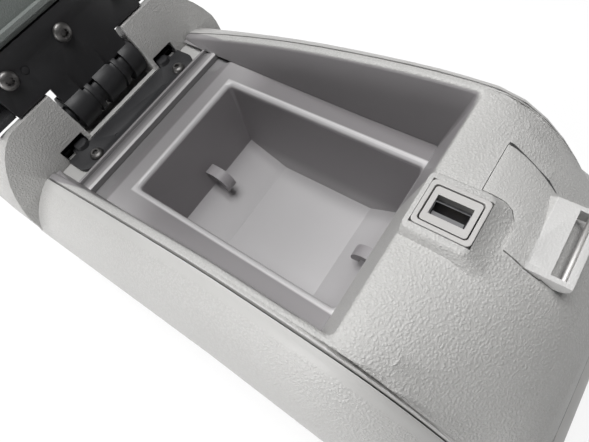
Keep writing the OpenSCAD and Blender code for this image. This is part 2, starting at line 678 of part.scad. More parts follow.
// Screw with a low round head under its own shank; the head points down when up is false
module screw(head_r, head_h, shank_r, len, torx) {
    difference() {
        union() {
            cylinder(r = shank_r, h = len, $fn = 24);
            translate([0, 0, -head_h]) rotate_extrude($fn = 40) polygon([[0, 0.0], [head_r * 0.6, 0],
                [head_r * 0.88, head_h * 0.35], [head_r, head_h * 0.8], [head_r, head_h], [0, head_h + eps]]);
        }
        translate([0, 0, -head_h - eps]) for (a = [0, 60, 120]) rotate(a)
            translate([-torx, -torx * 0.36, 0]) cube([2 * torx, torx * 0.72, head_h * 0.7]);
    }
}
module base_screws() color([0.3, 0.3, 0.31])
    both_sides() for (x = pan_screw_x) translate([x, pan_screw_y(x), pan_z - eps])
        screw(3.6, 1.7, screw_core - 0.05, pan_screw_len, 1.2);

module trim_screws() color([0.3, 0.3, 0.31])
    both_sides() for (i = [0, 1])
        translate([trim_screw_x[i], trim_screw_y, shelf_top - shelf_t - fit_gap])
            screw(3.6, 2, screw_core - 0.05, trim_screw_len[i], 1.2);

// Fixed hinge bracket: plate in front of the ears, a tab into each ear, an upright on each tab

bracket_t = 2;
bracket_z = shelf_top + 0.15;
bracket_half_w = 48.6;
upright_y = 32;
upright_t = 3;
upright_r = 7.4;
tab_rear_x = -133;
module bracket_plan() {
    r = 7;
    polygon(concat(
        [[rib_x0 + rib_t + 0.5, -bracket_half_w], [rib_x0 + rib_t + 0.5, bracket_half_w]],
        arc_points(lip_x - 0.5 - r, bracket_half_w - r, r, 90, 0, 6),
        arc_points(lip_x - 0.5 - r, -bracket_half_w + r, r, 0, -90, 6)));
}
module hinge_bracket() color([0.1, 0.1, 0.11]) {
    difference() {
        union() {
            translate([0, 0, bracket_z]) linear_extrude(bracket_t) bracket_plan();
            both_sides() {
                block(tab_rear_x, rib_x0 + rib_t + 1, window_y0 + 0.4, window_y1 - 0.5, bracket_z,
                    bracket_z + bracket_t);
                block(axis_x - upright_r, axis_x + upright_r, upright_y, upright_y + upright_t,
                    bracket_z + eps, axis_z);
                y_rod(axis_x, axis_z, upright_r, upright_y, upright_y + upright_t);
                translate([-108.6, bracket_screw_y, bracket_z + bracket_t - eps])
                    cylinder(r1 = 4.4, r2 = 3.6, h = 2.6, $fn = 32);
            }
        }
        both_sides() {
            y_rod(axis_x, axis_z, pin_r + 0.02, upright_y - 1, upright_y + upright_t + 1);
            translate([bracket_screw_x, bracket_screw_y, bracket_z - 1]) cylinder(r = 2.1, h = 5, $fn = 24);
            block(-114, -107.4, 42, 47, bracket_z - 1, bracket_z + bracket_t + 1);
            translate([bracket_screw_x + 1, bracket_screw_y - 16, bracket_z + bracket_t - 0.3])
                cylinder(r = 1.4, h = 1, $fn = 24);
        }
    }
}
bracket_screw_len = 8;
module bracket_screws() color([0.62, 0.62, 0.63])
    both_sides() translate([bracket_screw_x, bracket_screw_y, bracket_z + bracket_t])
        mirror([0, 0, 1]) screw(4.1, 2.3, screw_core - 0.05, bracket_screw_len, 1.7);

pin_half = 37.6;
module hinge_pin() color([0.6, 0.6, 0.62]) {
    difference() {
        y_rod(axis_x, axis_z, pin_r, -pin_half, pin_half);
        both_sides() difference() {
            y_rod(axis_x, axis_z, pin_r + 1, pin_half - 1.8, pin_half - 0.9);
            y_rod(axis_x, axis_z, pin_r - 0.6, pin_half - 2, pin_half);
        }
    }
}
module pin_clips() color([0.55, 0.55, 0.56])
    both_sides() difference() {
        y_rod(axis_x, axis_z, pin_r + 2.4, pin_half - 1.7, pin_half - 1);
        y_rod(axis_x, axis_z, pin_r - 0.5, pin_half - 2, pin_half);
        block(axis_x - 1.9, axis_x + 1.9, pin_half - 2, pin_half, axis_z - pin_r - 4, axis_z);
    }
barrel_y0 = -25.4;
barrel_y1 = 27.4;
module hinge_spacers() color([0.12, 0.12, 0.13])
    for (s = [[-upright_y + 0.1, barrel_y0 - 0.15], [barrel_y1 + 0.15, upright_y - 0.1]]) difference() {
        y_rod(axis_x, axis_z, spacer_r, s[0], s[1]);
        y_rod(axis_x, axis_z, pin_r + 0.05, s[0] - 1, s[1] + 1);
    }

// Catch insert in the deck, with a flat slotted tongue that stands out over the nose

slot_x0 = tongue_x + 7.4;
slot_x1 = tongue_x + 12.3;
slot_margin = 1.8;
tongue_y0 = tongue_y - tongue_w / 2;
tongue_y1 = tongue_y + tongue_w / 2;
tongue_t = 5.4;
bar_x = slot_x1 - 0.6;
bar_z = tongue_z - 2;
// Side outline of the tongue, with its rounded under-hull
tongue_profile = concat(
    [[tongue_x - 3, tongue_z - 1.6], [tongue_x, tongue_z], [tongue_x + tongue_len, tongue_z],
        [tongue_x + tongue_len, tongue_z - 3]],
    [for (a = [0:-15:-90]) [tongue_x + tongue_len - 4.2 + 4 * cos(a), tongue_z - tongue_t + 3 + 3 * sin(a)]],
    [[tongue_x + 2, tongue_z - tongue_t + 0.6], [tongue_x - 3, tongue_z - 4.4]]);
module catch_insert() color([0.6, 0.59, 0.58]) {
    difference() {
        union() {
            intersection() {
                difference() {
                    surface_block(insert_top_xs, function(x) 40, 14, 80, function(x, y)
                        x > tongue_x - 2 ? min(deck_z(x, y) + 0.25, tongue_z - 0.1) : deck_z(x, y) + 0.25);
                    surface_block(insert_ground_xs, function(x) 44, 14, 70,
                        function(x, y) deck_z(x, y) - insert_t);
                }
                translate([0, 0, 85]) linear_extrude(40) polygon(insert_plan);
            }
            difference() {
                across(tongue_profile, tongue_y0, tongue_y1);
                surface_block(insert_ground_xs, function(x) 44, 14, 70, function(x, y) deck_z(x, y) - insert_t
                    + (x > root_x ? insert_t + fit_gap : 0));
                surface_block([for (x = [root_x:2:root_x + 12]) x], function(x) 44, 14, 70,
                    function(x, y) deck_z(x, y) + fit_gap);
            }
            for (y = insert_screw_y) translate([insert_screw_x, y, insert_post_z + 0.1])
                cylinder(r = 2.6, h = deck_z(insert_screw_x, y) - insert_post_z - 1, $fn = 32);
        }
        block(slot_x0, slot_x1, tongue_y0 + slot_margin, tongue_y1 - slot_margin, tongue_z - 10,
            tongue_z + 1);
        y_rod(bar_x, bar_z, bar_r + 0.02, tongue_y0 + 0.6, tongue_y1 - 0.6);
        for (y = insert_screw_y) translate([insert_screw_x, y, insert_post_z - 1])
            cylinder(r = 1.2, h = 8, $fn = 24);
    }
}
module catch_bar() color([0.75, 0.75, 0.76])
    y_rod(bar_x, bar_z, bar_r, tongue_y0 + 0.7, tongue_y1 - 0.7);
module insert_screws() color([0.3, 0.3, 0.31])
    for (y = insert_screw_y) translate([insert_screw_x, y, insert_post_z]) screw(4.3, 1.6, 1.15, 6, 1);

// Charging socket

bezel_rim = 1.7;
plate_gap = 0.5;
window_len = 12.6;
window_w = 8;
module usb_bezel() color([0.62, 0.61, 0.6]) {
    difference() {
        translate([usb_x, 0, boss_z - usb_depth + 2]) linear_extrude(usb_depth - 1.5)
            polygon(round_rect(-usb_len / 2, usb_len / 2, usb_w / 2, 1.8, 1.8, 5));
        translate([usb_x, 0, 60]) linear_extrude(80)
            polygon(round_rect(-usb_len / 2 + bezel_rim, usb_len / 2 - bezel_rim, usb_w / 2 - bezel_rim,
                1.4, 1.4, 5));
    }
}
module usb_plate() color([0.58, 0.57, 0.56]) {
    difference() {
        translate([usb_x, 0, boss_z - 3]) linear_extrude(3.2)
            polygon(round_rect(-usb_len / 2 + bezel_rim + plate_gap, usb_len / 2 - bezel_rim - plate_gap,
                usb_w / 2 - bezel_rim - plate_gap, 1.2, 1.2, 5));
        block(usb_x - window_len / 2, usb_x + window_len / 2, -window_w / 2, window_w / 2, boss_z - 4,
            boss_z + 1);
    }
}
shell_len = 12;
shell_h = 5.3;
socket_depth = 11;
module usb_socket() color([0.7, 0.7, 0.72]) {
    difference() {
        block(usb_x - shell_len / 2 - 0.3, usb_x + shell_len / 2 + 0.3, -shell_h / 2 - 0.3 - 0.7,
            shell_h / 2 + 0.3 - 0.7,
            boss_z - 3 - socket_depth, boss_z - 1.2);
        block(usb_x - shell_len / 2, usb_x + shell_len / 2, -shell_h / 2 - 0.7, shell_h / 2 - 0.7,
            boss_z - 2 - socket_depth, boss_z + 1);
    }
}
tongue_plate_t = 1.8;
tongue_plate_y = -shell_h / 2 - 0.6;
module usb_tongue() color([0.85, 0.85, 0.86])
    block(usb_x - shell_len / 2 + 0.4, usb_x + shell_len / 2 - 0.4, tongue_plate_y,
        tongue_plate_y + tongue_plate_t,
        boss_z - 2 - socket_depth, boss_z - 1.8);
contact_pitch = 2.4;
module usb_contacts() color([0.8, 0.68, 0.35])
    for (i = [-1.5:1:1.5]) block(usb_x + i * contact_pitch - 0.5, usb_x + i * contact_pitch + 0.5,
        tongue_plate_y + tongue_plate_t, tongue_plate_y + tongue_plate_t + 0.3,
            boss_z - 1 - socket_depth, boss_z - 3);
module usb_housing() color([0.09, 0.09, 0.1]) {
    difference() {
        union() {
            block(usb_x - 7.6, usb_x + 7.6, -6, 6, boss_z - 26, boss_z - 3);
            block(usb_x - 10.2, usb_x + 10.2, -9, 9, boss_z - usb_depth, boss_z - usb_depth + 2);
            block(usb_x - 5, usb_x + 5, -4, 4, boss_z - 34, boss_z - 25.9);
        }
        block(usb_x - shell_len / 2 - 0.4, usb_x + shell_len / 2 + 0.4, -shell_h / 2 - 1.1, shell_h / 2 - 0.3,
            boss_z - 3 - socket_depth - 0.1, boss_z);
        block(usb_x - 4, usb_x + 4, -3, 3, boss_z - 35, boss_z - 28);
    }
}

// Lid: every piece is described shut, then turned open about the hinge axis

module opened() {
    translate([axis_x, 0, axis_z]) rotate([0, -lid_open, 0]) translate([-axis_x, 0, -axis_z]) children();
}

// Barrel outline: wide rings, narrow rings and the grooves between them
barrel_pitch = 21.6;
ring_w = 12.4;
small_gap = 2.2;
small_ring = 3;
groove_deep = 3.2;
module barrel() {
    y_rod(axis_x, axis_z, barrel_r - groove_deep, barrel_y0, barrel_y1);
    for (i = [0:2]) let (y = barrel_y0 + i * barrel_pitch) {
        y_rod(axis_x, axis_z, barrel_r, y, min(barrel_y1, y + ring_w));
        if (i < 2) y_rod(axis_x, axis_z, barrel_r - 0.5, y + ring_w + small_gap,
            y + ring_w + small_gap + small_ring);
        if (i < 2) y_rod(axis_x, axis_z, barrel_r - 1.6, y + ring_w - 0.5, y + ring_w + small_gap + 0.5);
    }
}
arm_half_w = lid_screw_pitch + 10.2;
arm_front_x = -74.3;
scoop_r = 21;
arm_neck_half = 25;
lid_screw_x = -85.3;
boss_ring_r = 2.4;
module hinge_arm() color([0.1, 0.1, 0.11]) opened() {
    difference() {
        union() {
            difference() {
                block(axis_x, arm_front_x, -arm_half_w, arm_half_w, arm_z, arm_z + arm_t);
                y_rod(axis_x, axis_z, scoop_r, -arm_half_w - 1, -arm_neck_half);
                y_rod(axis_x, axis_z, scoop_r, arm_neck_half, arm_half_w + 1);
                y_rod(axis_x, axis_z, barrel_r - 1, -arm_half_w, arm_half_w);
            }
            barrel();
            for (y = [-arm_half_w, arm_half_w - arm_t])
                block(-98, arm_front_x, y, y + arm_t, arm_z + eps, arm_z + 9);
            for (y = [-12.4, 8.4]) across([[axis_x + barrel_r - 1.5, arm_z - 0.6], [axis_x + 24, arm_z + 0.1],
                [axis_x + 24, arm_z + 1], [axis_x + barrel_r - 1.5, arm_z + 1]], y - 0.6, y + 0.6);
        }
        y_rod(axis_x, axis_z, pin_r + pin_fit, barrel_y0 - 1, barrel_y1 + 1);
        for (i = [-1:1]) translate([lid_screw_x, i * lid_screw_pitch, arm_z - 1])
            cylinder(r = 2.7, h = 9, $fn = 24);
        translate([lid_screw_x - 1.6, -lid_screw_pitch * 0.74, arm_z - 1]) difference() {
            cylinder(r = boss_ring_r, h = 1.3, $fn = 32);
            cylinder(r = boss_ring_r - 0.6, h = 2, $fn = 32);
        }
    }
}
lid_screw_len = 12;
module lid_screws() color([0.6, 0.6, 0.61]) opened()
    for (i = [-1:1]) translate([lid_screw_x, i * lid_screw_pitch, arm_z])
        screw(4.9, 2.4, 2.5, lid_screw_len, 2.1);

// Top of the lid shell along X, a gentle rise that rolls down over the nose
lid_rear_x = -114;
lid_rear_z = 95.5;
lid_high_z = 122;
lid_high_x = 96;
lid_nose_drop = 8;
function lid_top(x) = x < lid_high_x
    ? lid_high_z - (lid_high_z - lid_rear_z) * pow((lid_high_x - x) / (lid_high_x - lid_rear_x), 1.25)
    : lid_high_z - lid_nose_drop * pow((x - lid_high_x) / (lid_front_x - lid_high_x), 2.2);
lid_xs = [for (i = [0:16]) lid_rear_x + (lid_front_x - lid_rear_x) * i / 16];
lid_corner = 27;
function lid_profile(in) = concat(
    [[lid_rear_x + in, arm_z + arm_t + fit_gap - (in > 0 ? 9 : 0)]],
    [for (i = [0:16]) [lid_rear_x + in + (lid_front_x - lid_rear_x - 2 * in) * i / 16,
        lid_top(lid_rear_x + in + (lid_front_x - lid_rear_x - 2 * in) * i / 16) - in]],
    [[lid_front_x - in, 60], [open_front_x, 60], [-60, 70]]);
// Everything under the closed lid, with a gap above the deck
clearance_xs = concat([for (i = [0:10]) tail_x - 8 + (crest_x - tail_x + 8) * i / 10],
    [90, 96, 103, 110, 117, 124, 130, 136, 142, 148]);
module lid_clearance(gap)
    surface_block(clearance_xs, function(x) lid_half_w + 9, 12, 40, function(x, y) deck_z(x, y) + gap);
latch_y = tongue_y;
latch_half = 11;
pivot_x = slot_x1 + 1.3;
pivot_z = 111.2;
module lid_shell() color([0.13, 0.13, 0.14]) opened() {
    difference() {
        union() {
            difference() {
                intersection() {
                    across(lid_profile(0), -lid_half_w, lid_half_w);
                    translate([0, 0, 40]) linear_extrude(120)
                        polygon(round_rect(lid_rear_x, lid_front_x, lid_half_w, 6, lid_corner, 8));
                }
                lid_clearance(lid_gap);
                difference() {
                    intersection() {
                        across(lid_profile(lid_wall), -lid_half_w + lid_wall, lid_half_w - lid_wall);
                        translate([0, 0, 30]) linear_extrude(120)
                            polygon(round_rect(lid_rear_x + lid_wall, lid_front_x - lid_wall,
                                lid_half_w - lid_wall, 4,
                                lid_corner - lid_wall, 8));
                    }
                    y_rod(axis_x, axis_z, scoop_r + lid_wall, -lid_half_w, lid_half_w);
                }
            }
            for (i = [-1:1]) translate([lid_screw_x, i * lid_screw_pitch, arm_z + arm_t + 0.1])
                cylinder(r = 5, h = lid_top(lid_screw_x) - arm_z - arm_t - 1, $fn = 32);
            for (y = [latch_y - latch_half - 3.4, latch_y + latch_half + 0.4])
                block(pivot_x - 4.5, pivot_x + 5, y, y + 3, pivot_z - 4, lid_top(pivot_x + 5) - 1);
            both_sides() for (x = panel_screw_x) translate([x, panel_screw_y, panel_z(x) + panel_t + 0.6])
                cylinder(r = 3.6, h = lid_top(x) - panel_z(x) - panel_t - 1.6, $fn = 32);
            both_sides() translate([buffer_x, buffer_y, buffer_z + buffer_h])
                cylinder(r = 4.6, h = lid_top(buffer_x) - buffer_z - buffer_h - 1, $fn = 32);
        }
        y_rod(axis_x, axis_z, scoop_r, -lid_half_w - 1, lid_half_w + 1);
        block(axis_x, arm_front_x + fit_gap, -arm_half_w - fit_gap, arm_half_w + fit_gap, 60,
            arm_z + arm_t + fit_gap - 0.2);
        for (i = [-1:1]) translate([lid_screw_x, i * lid_screw_pitch, arm_z - 1])
            cylinder(r = 2.52, h = 14, $fn = 24);
        both_sides() for (x = panel_screw_x) translate([x, panel_screw_y, panel_z(x)])
            cylinder(r = 1.3, h = 9, $fn = 24);
        y_rod(pivot_x, pivot_z, latch_pin_r + 0.02, latch_y - latch_half - 2.6, latch_y + latch_half + 2.6);
        block(lid_front_x - 8, lid_front_x + 1, latch_y - latch_half - 0.4, latch_y + latch_half + 0.4,
            button_low - 2.4, button_top + 0.6);
    }
}

// Inner panel of the lid: flat field with a raised lip, stepping up over the socket boss

panel_t = 2;
panel_x0 = arm_front_x + 0.6;
panel_x1 = 68;
panel_step = 7;
panel_end = 104;
panel_half = 51.5;
panel_rise = 0.13;
function panel_z(x) = arm_z + 1.2 + (x - panel_x0) * panel_rise;
panel_high_z = boss_z + 1.6;
lip_in = 2.6;
lip_w = 2.6;
lip_h = 2.4;
panel_screw_x = [-60, 56];
panel_screw_y = 41;
// Flat band along the field, from down below its underside to up above it
module panel_field(in, down, up) {
    intersection() {
        across([[panel_x0 + in, panel_z(panel_x0 + in) - down], [panel_x0 + in, panel_z(panel_x0 + in) + up],
            [panel_x1 - in, panel_z(panel_x1 - in) + up], [panel_x1 - in, panel_z(panel_x1 - in) - down]],
            -panel_half + in, panel_half - in);
        translate([0, 0, 50]) linear_extrude(90)
            polygon(round_rect(panel_x0 + in, panel_x1 - in, panel_half - in, 5, 5, 5));
    }
}
panel_profile = [[panel_x0, panel_z(panel_x0)], [panel_x1, panel_z(panel_x1)], [panel_x1 + panel_step,
    panel_high_z],
    [panel_end, panel_high_z + 0.4], [panel_end, panel_high_z + 0.4 + panel_t],
    [panel_x1 + panel_step - 1.6, panel_high_z + panel_t], [panel_x1 - 1.6, panel_z(panel_x1) + panel_t],
    [panel_x0, panel_z(panel_x0) + panel_t]];
module lid_panel() color([0.3, 0.32, 0.31]) opened() {
    difference() {
        union() {
            intersection() {
                across(panel_profile, -panel_half, panel_half);
                translate([0, 0, 50]) linear_extrude(90)
                    polygon(round_rect(panel_x0, panel_end, panel_half, 5, 9, 5));
            }
            difference() {
                panel_field(lip_in, lip_h, eps);
                panel_field(lip_in + lip_w, lip_h + 1, panel_t + 1);
            }
        }
        both_sides() for (x = panel_screw_x) translate([x, panel_screw_y, 50])
            cylinder(r = 1.6, h = 60, $fn = 24);
        panel_field(lip_in + lip_w, 1, 0.5);
    }
}
module panel_screws() color([0.2, 0.2, 0.21]) opened()
    both_sides() for (x = panel_screw_x) translate([x, panel_screw_y, panel_z(x) + 0.1])
        screw(2.9, 1.5, 1.25, 8, 0.9);

// Rubber buffers on two posts near the front of the lid
buffer_x = 112;
buffer_y = 44;
buffer_h = 4;
buffer_z = deck_z(buffer_x, buffer_y) + 2.3;
module lid_buffers() color([0.07, 0.07, 0.07]) opened()
    both_sides() translate([buffer_x, buffer_y, buffer_z]) cylinder(r1 = 3.2, r2 = 4, h = buffer_h, $fn = 32);

// Pad, a plain crowned cushion on top of the lid shell
pad_gap = 0.3;
pad_overhang = 1.5;
function pad_outline(in, n = 5) = round_rect(lid_rear_x + 1 + in, lid_front_x + pad_overhang - in,
    lid_half_w + pad_overhang - in, 10, lid_corner, n);
module lid_pad() color([0.11, 0.11, 0.12]) opened() {
    difference() {
        intersection() {
            across(concat(
                [for (i = [0:16]) [lid_xs[i] + (i == 16 ? 5 : 0), lid_top(lid_xs[i]) + pad_gap]],
                [for (i = [16:-1:0]) [lid_xs[i] + (i == 16 ? 5 : 0), lid_top(lid_xs[i]) + pad_t + 4]]),
                -lid_half_w - 5, lid_half_w + 5);
            hull() {
                translate([0, 0, 40]) linear_extrude(eps) polygon(pad_outline(0));
                translate([0, 0, lid_high_z + pad_t + 20]) linear_extrude(eps) polygon(pad_outline(9));
            }
        }
        y_rod(axis_x, axis_z, scoop_r + 0.2, -lid_half_w - 5, lid_half_w + 5);
    }
}

// Latch lever: a press button at the front, a hook that drops into the slot, a cross pin, a torsion spring

latch_pin_r = 1.5;
button_top = 110;
button_low = 98;
hook_rear_x = bar_x - bar_r - 1.7;
hook_front_x = bar_x - bar_r - fit_gap;
hook_low_z = tongue_z - 4.2;
lever_r = 3.1;
coil_y = latch_y + 6.3;
coil_wire = 0.38;
coil_pitch = 0.72;
module latch_lever() color([0.14, 0.14, 0.15]) opened() {
    difference() {
        union() {
            y_rod(pivot_x, pivot_z, lever_r, latch_y - latch_half, latch_y + latch_half);
            across([[pivot_x - 1, pivot_z - lever_r + 0.3], [hook_front_x + 0.4, tongue_z + 1.2],
                [hook_front_x - 0.5, tongue_z - 1], [hook_front_x - 0.5, bar_z - bar_r - 0.5],
                [hook_front_x, bar_z - bar_r - 0.9], [hook_rear_x + 0.3, hook_low_z - 0.4], [hook_rear_x,
                    hook_low_z],
                [hook_rear_x, tongue_z + 2.4], [pivot_x - lever_r + 0.2, pivot_z]],
                latch_y - 5, latch_y + 5);
            across([[pivot_x, pivot_z - lever_r + 0.2], [pivot_x + lever_r - 0.6, pivot_z - 0.6],
                [lid_front_x - 3.4, button_top], [lid_front_x - 0.5, button_top], [lid_front_x - 0.5,
                    button_low],
                [lid_front_x - 2.5, button_low], [lid_front_x - 3, button_top - 3.4]],
                latch_y - latch_half, latch_y + latch_half);
        }
        y_rod(pivot_x, pivot_z, latch_pin_r + pin_fit, latch_y - latch_half - 1, latch_y + latch_half + 1);
        block(pivot_x - 4, pivot_x + 3, coil_y - 0.6, coil_y + 3.4, pivot_z - 4, pivot_z + 4);
    }
}
module latch_pin() color([0.65, 0.65, 0.66]) opened()
    y_rod(pivot_x, pivot_z, latch_pin_r, latch_y - latch_half - 2.5, latch_y + latch_half + 2.5);
module latch_spring() color([0.5, 0.5, 0.52]) opened() {
    for (i = [0:3]) translate([pivot_x, coil_y + i * coil_pitch, pivot_z]) rotate([90, 0, 0])
        rotate_extrude($fn = 36) translate([latch_pin_r + 0.65, 0]) circle(r = coil_wire, $fn = 14);
    translate([pivot_x - latch_pin_r - 0.65, coil_y + 3 * coil_pitch, pivot_z - 5.4])
        cylinder(r = coil_wire * 0.98, h = 5.4, $fn = 14);
}

outer_shell();
upper_trim();
bin_liner();
base_pan();
base_screws();
trim_screws();
hinge_bracket();
bracket_screws();
hinge_pin();
pin_clips();
hinge_spacers();
catch_insert();
catch_bar();
insert_screws();
usb_bezel();
usb_plate();
usb_socket();
usb_tongue();
usb_contacts();
usb_housing();
hinge_arm();
lid_screws();
lid_shell();
lid_panel();
panel_screws();
lid_pad();
lid_buffers();
latch_lever();
latch_pin();
latch_spring();
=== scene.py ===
import math

import bmesh
import bpy
from mathutils import Matrix, Vector
from mathutils.bvhtree import BVHTree


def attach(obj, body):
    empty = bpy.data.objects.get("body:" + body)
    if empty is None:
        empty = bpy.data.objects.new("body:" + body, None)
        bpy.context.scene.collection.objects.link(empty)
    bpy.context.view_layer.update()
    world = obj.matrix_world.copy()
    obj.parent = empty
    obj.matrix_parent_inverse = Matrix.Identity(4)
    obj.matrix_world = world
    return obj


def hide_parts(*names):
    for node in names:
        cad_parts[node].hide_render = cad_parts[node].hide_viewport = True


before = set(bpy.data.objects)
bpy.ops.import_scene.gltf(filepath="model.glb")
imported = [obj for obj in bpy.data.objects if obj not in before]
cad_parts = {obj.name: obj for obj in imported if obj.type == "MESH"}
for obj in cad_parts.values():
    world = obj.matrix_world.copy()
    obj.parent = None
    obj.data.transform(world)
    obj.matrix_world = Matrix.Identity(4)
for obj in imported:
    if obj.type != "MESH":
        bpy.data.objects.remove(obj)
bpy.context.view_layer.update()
mm = 0.001


# Shader kit: a wire is one socket of a material, and arithmetic on wires adds Math nodes

class Wire:
    def __init__(self, recipe, socket):
        self.recipe = recipe
        self.socket = socket

    def maths(self, operation, *others):
        values = dict(enumerate((self, *others)))
        return self.recipe.add("ShaderNodeMath", {"operation": operation}, values)

    def __add__(self, other):
        return self.maths("ADD", other)

    __radd__ = __add__

    def __sub__(self, other):
        return self.maths("SUBTRACT", other)

    def __rsub__(self, other):
        return (self * -1) + other

    def __mul__(self, other):
        return self.maths("MULTIPLY", other)

    __rmul__ = __mul__

    def above(self, low, high):  # 0 below low, 1 above high, smooth between
        return self.recipe.add("ShaderNodeMapRange", {"interpolation_type": "SMOOTHSTEP"},
                               {"Value": self, "From Min": low, "From Max": high})


class Recipe:
    def __init__(self, name):
        self.material = bpy.data.materials.new(name)
        self.material.use_nodes = True
        self.tree = self.material.node_tree
        self.tree.nodes.clear()
        self.out = self.tree.nodes.new("ShaderNodeOutputMaterial")
        self.place = self.add("ShaderNodeTexCoord", output="Object")

    def add(self, kind, settings=None, values=None, output=0):
        node = self.tree.nodes.new(kind)
        for key, value in (settings or {}).items():
            setattr(node, key, value)
        for key, value in (values or {}).items():
            socket = node.inputs[key]
            if isinstance(value, Wire):
                self.tree.links.new(value.socket, socket)
            elif isinstance(value, (tuple, list)) and len(value) == 3 and len(socket.default_value) == 4:
                socket.default_value = (*value, 1)
            else:
                socket.default_value = value
        return Wire(self, node.outputs[output])

    def axis(self, letter):  # one of the Object coordinates, in metres
        return self.add("ShaderNodeSeparateXYZ", None, {0: self.place}, output=letter)

    def spot(self, scale):  # Object coordinates, stretched
        return self.add("ShaderNodeMapping", None, {"Vector": self.place, "Scale": scale})

    def noise(self, scale, detail=3, rough=0.5, where=None):
        values = {"Vector": where or self.place, "Scale": scale, "Detail": detail, "Roughness": rough}
        return self.add("ShaderNodeTexNoise", None, values)

    def cells(self, scale, feature="DISTANCE_TO_EDGE", where=None):
        values = {"Vector": where or self.place, "Scale": scale}
        return self.add("ShaderNodeTexVoronoi", {"feature": feature}, values)

    def warped(self, amount, scale):  # Object coordinates pushed about by noise
        values = {"Vector": self.place, "Scale": scale, "Detail": 2}
        push = self.add("ShaderNodeTexNoise", None, values, output="Color")
        centred = self.vectors("SUBTRACT", {0: push, 1: (0.5, 0.5, 0.5)})
        sized = self.vectors("SCALE", {0: centred, "Scale": amount})
        return self.vectors("ADD", {0: self.place, 1: sized})

    def vectors(self, operation, values):
        return self.add("ShaderNodeVectorMath", {"operation": operation}, values)

    def mix(self, factor, a, b):
        node = self.tree.nodes.new("ShaderNodeMix")
        node.data_type = "RGBA"
        for key, value in ((0, factor), (6, a), (7, b)):
            if isinstance(value, Wire):
                self.tree.links.new(value.socket, node.inputs[key])
            else:
                node.inputs[key].default_value = (*value, 1) if isinstance(value, tuple) else value
        return Wire(self, node.outputs[2])

    def bump(self, height, distance):
        return self.add("ShaderNodeBump", None, {"Height": height, "Strength": 1.0, "Distance": distance})

    def finish(self, **sockets):
        names = {"colour": "Base Color", "rough": "Roughness", "metal": "Metallic", "normal": "Normal",
                 "gloss": "Specular IOR Level"}
        values = {names[key]: value for key, value in sockets.items()}
        shader = self.add("ShaderNodeBsdfPrincipled", None, values)
        self.tree.links.new(shader.socket, self.out.inputs["Surface"])
        return self.material


# Moulded plastic with a leather-like grain: domed pebbles between fine creases.
# smooth(recipe) may return a wire that is 1 where the moulding is satin instead of grained,
# calm(recipe) one that is 1 where the grain fades, and shade(recipe, colour) a new colour with painted light
# and shade.

grainedPlastic = {
    "grainSize": 940, "grainDepth": 0.2 * mm, "domeEdge": (0.08, 0.72), "fineRatio": 2.2, "fineShare": 0.28,
    "warp": 0.0007, "warpScale": 520, "poreScale": 2800, "poreDepth": 0.05, "patchScale": 24,
    "swellScale": 140, "swellShare": 0.5, "toneEdge": (0.1, 0.85), "rough": 0.42, "roughSpread": 0.1,
    "gloss": 0.45, "satinFlat": 0.94, "satinRough": 0.04,
}


def grainedMaterial(name, light, dark, size=1.0, depth=1.0, rough=grainedPlastic["rough"],
                    smooth=None, satin=None, calm=None, shade=None):
    r = Recipe(name)
    g = grainedPlastic
    where = r.warped(g["warp"], g["warpScale"])
    scale = g["grainSize"] / size
    dome = 1 - r.cells(scale, feature="F1", where=where).above(*g["domeEdge"])
    fineDome = 1 - r.cells(scale * g["fineRatio"], feature="F1", where=where).above(*g["domeEdge"])
    pores = r.noise(g["poreScale"], 3)
    patches = r.noise(g["patchScale"], 4)
    swell = r.noise(g["swellScale"], 2)
    pebble = dome * (1 - g["fineShare"]) + fineDome * g["fineShare"]
    relief = pebble * (swell * g["swellShare"] + 0.75) + pores * g["poreDepth"]
    if calm:
        relief = relief * (1 - calm(r))
    tone = pebble * 0.4 + patches * 0.35 + pores * 0.25
    colour = r.mix(tone.above(*g["toneEdge"]), dark, light)
    base = rough + patches * g["roughSpread"]
    if smooth:
        mask = smooth(r)
        relief = relief * (1 - mask * g["satinFlat"])
        colour = r.mix(mask, colour, r.mix(patches, *(satin or (dark, light))))
        base = base - mask * g["satinRough"]
    if shade:
        colour = shade(r, colour)
    normal = r.bump(relief, g["grainDepth"] * depth)
    return r.finish(colour=colour, rough=base, normal=normal, gloss=g["gloss"])


# Places on the moulding in metres, each as the two ends of a soft edge

places = {
    "openingSide": (0.0553, 0.0562), "openingFront": (0.0655, 0.0675), "leftHalf": (0.0135, 0.0150),
    "trimRim": (0.0578, 0.0592), "shoulder": (0.0640, 0.0656), "earFront": (-0.1070, -0.1064),
    "tongueRoot": (0.1186, 0.1194), "lipFront": (-0.0884, -0.0880), "slope": (-0.0878, -0.0808),
    "crest": (-0.0812, -0.0806), "drop": (-0.0793, -0.0789), "barFront": (-0.0770, -0.0765),
    "barTop": (0.0722, 0.0727), "shelfRear": (-0.0815, -0.0810), "shelfFront": (-0.0600, -0.0590),
    "shelfLow": (0.0560, 0.0565), "insertRear": (0.0966, 0.0970), "insertFront": (0.1178, 0.1186),
    "noseStart": (0.0700, 0.0900), "tubFloor": (0.0100, 0.0260), "flangeTop": (0.0684, 0.0700),
    "flangeRear": (-0.0672, -0.0655), "rimSide": (0.0424, 0.0436), "rimRear": (-0.0592, -0.0580),
    "besideTub": (0.0700, 0.0708), "besideTubRear": (-0.0560, -0.0300),
}
tail = {"start": 0.024, "spread": 0.01908, "wallStart": -0.07, "wallSpread": 0.14, "wallLean": 0.0115}
insertArc = {
    "start": 97, "half": 0.0379, "power": 1.6, "fall": 0.0000545, "line": (0.00035, 0.0006),
    "trimShift": 0.0005, "insertShift": -0.0002,
}
noseArc = {"x": 0.13000, "y": 0.03200, "radius": 0.02740, "line": (0.0003, 0.0006)}
tongueSatinAndLight = 0.55
# Painted shadow in the gaps and seams between parts
paintedGapShadow = (0.05, 0.05, 0.05)
paintedSeamShadow = (0.08, 0.08, 0.08)
paintedShelfShadow = (0.19, 0.185, 0.188)
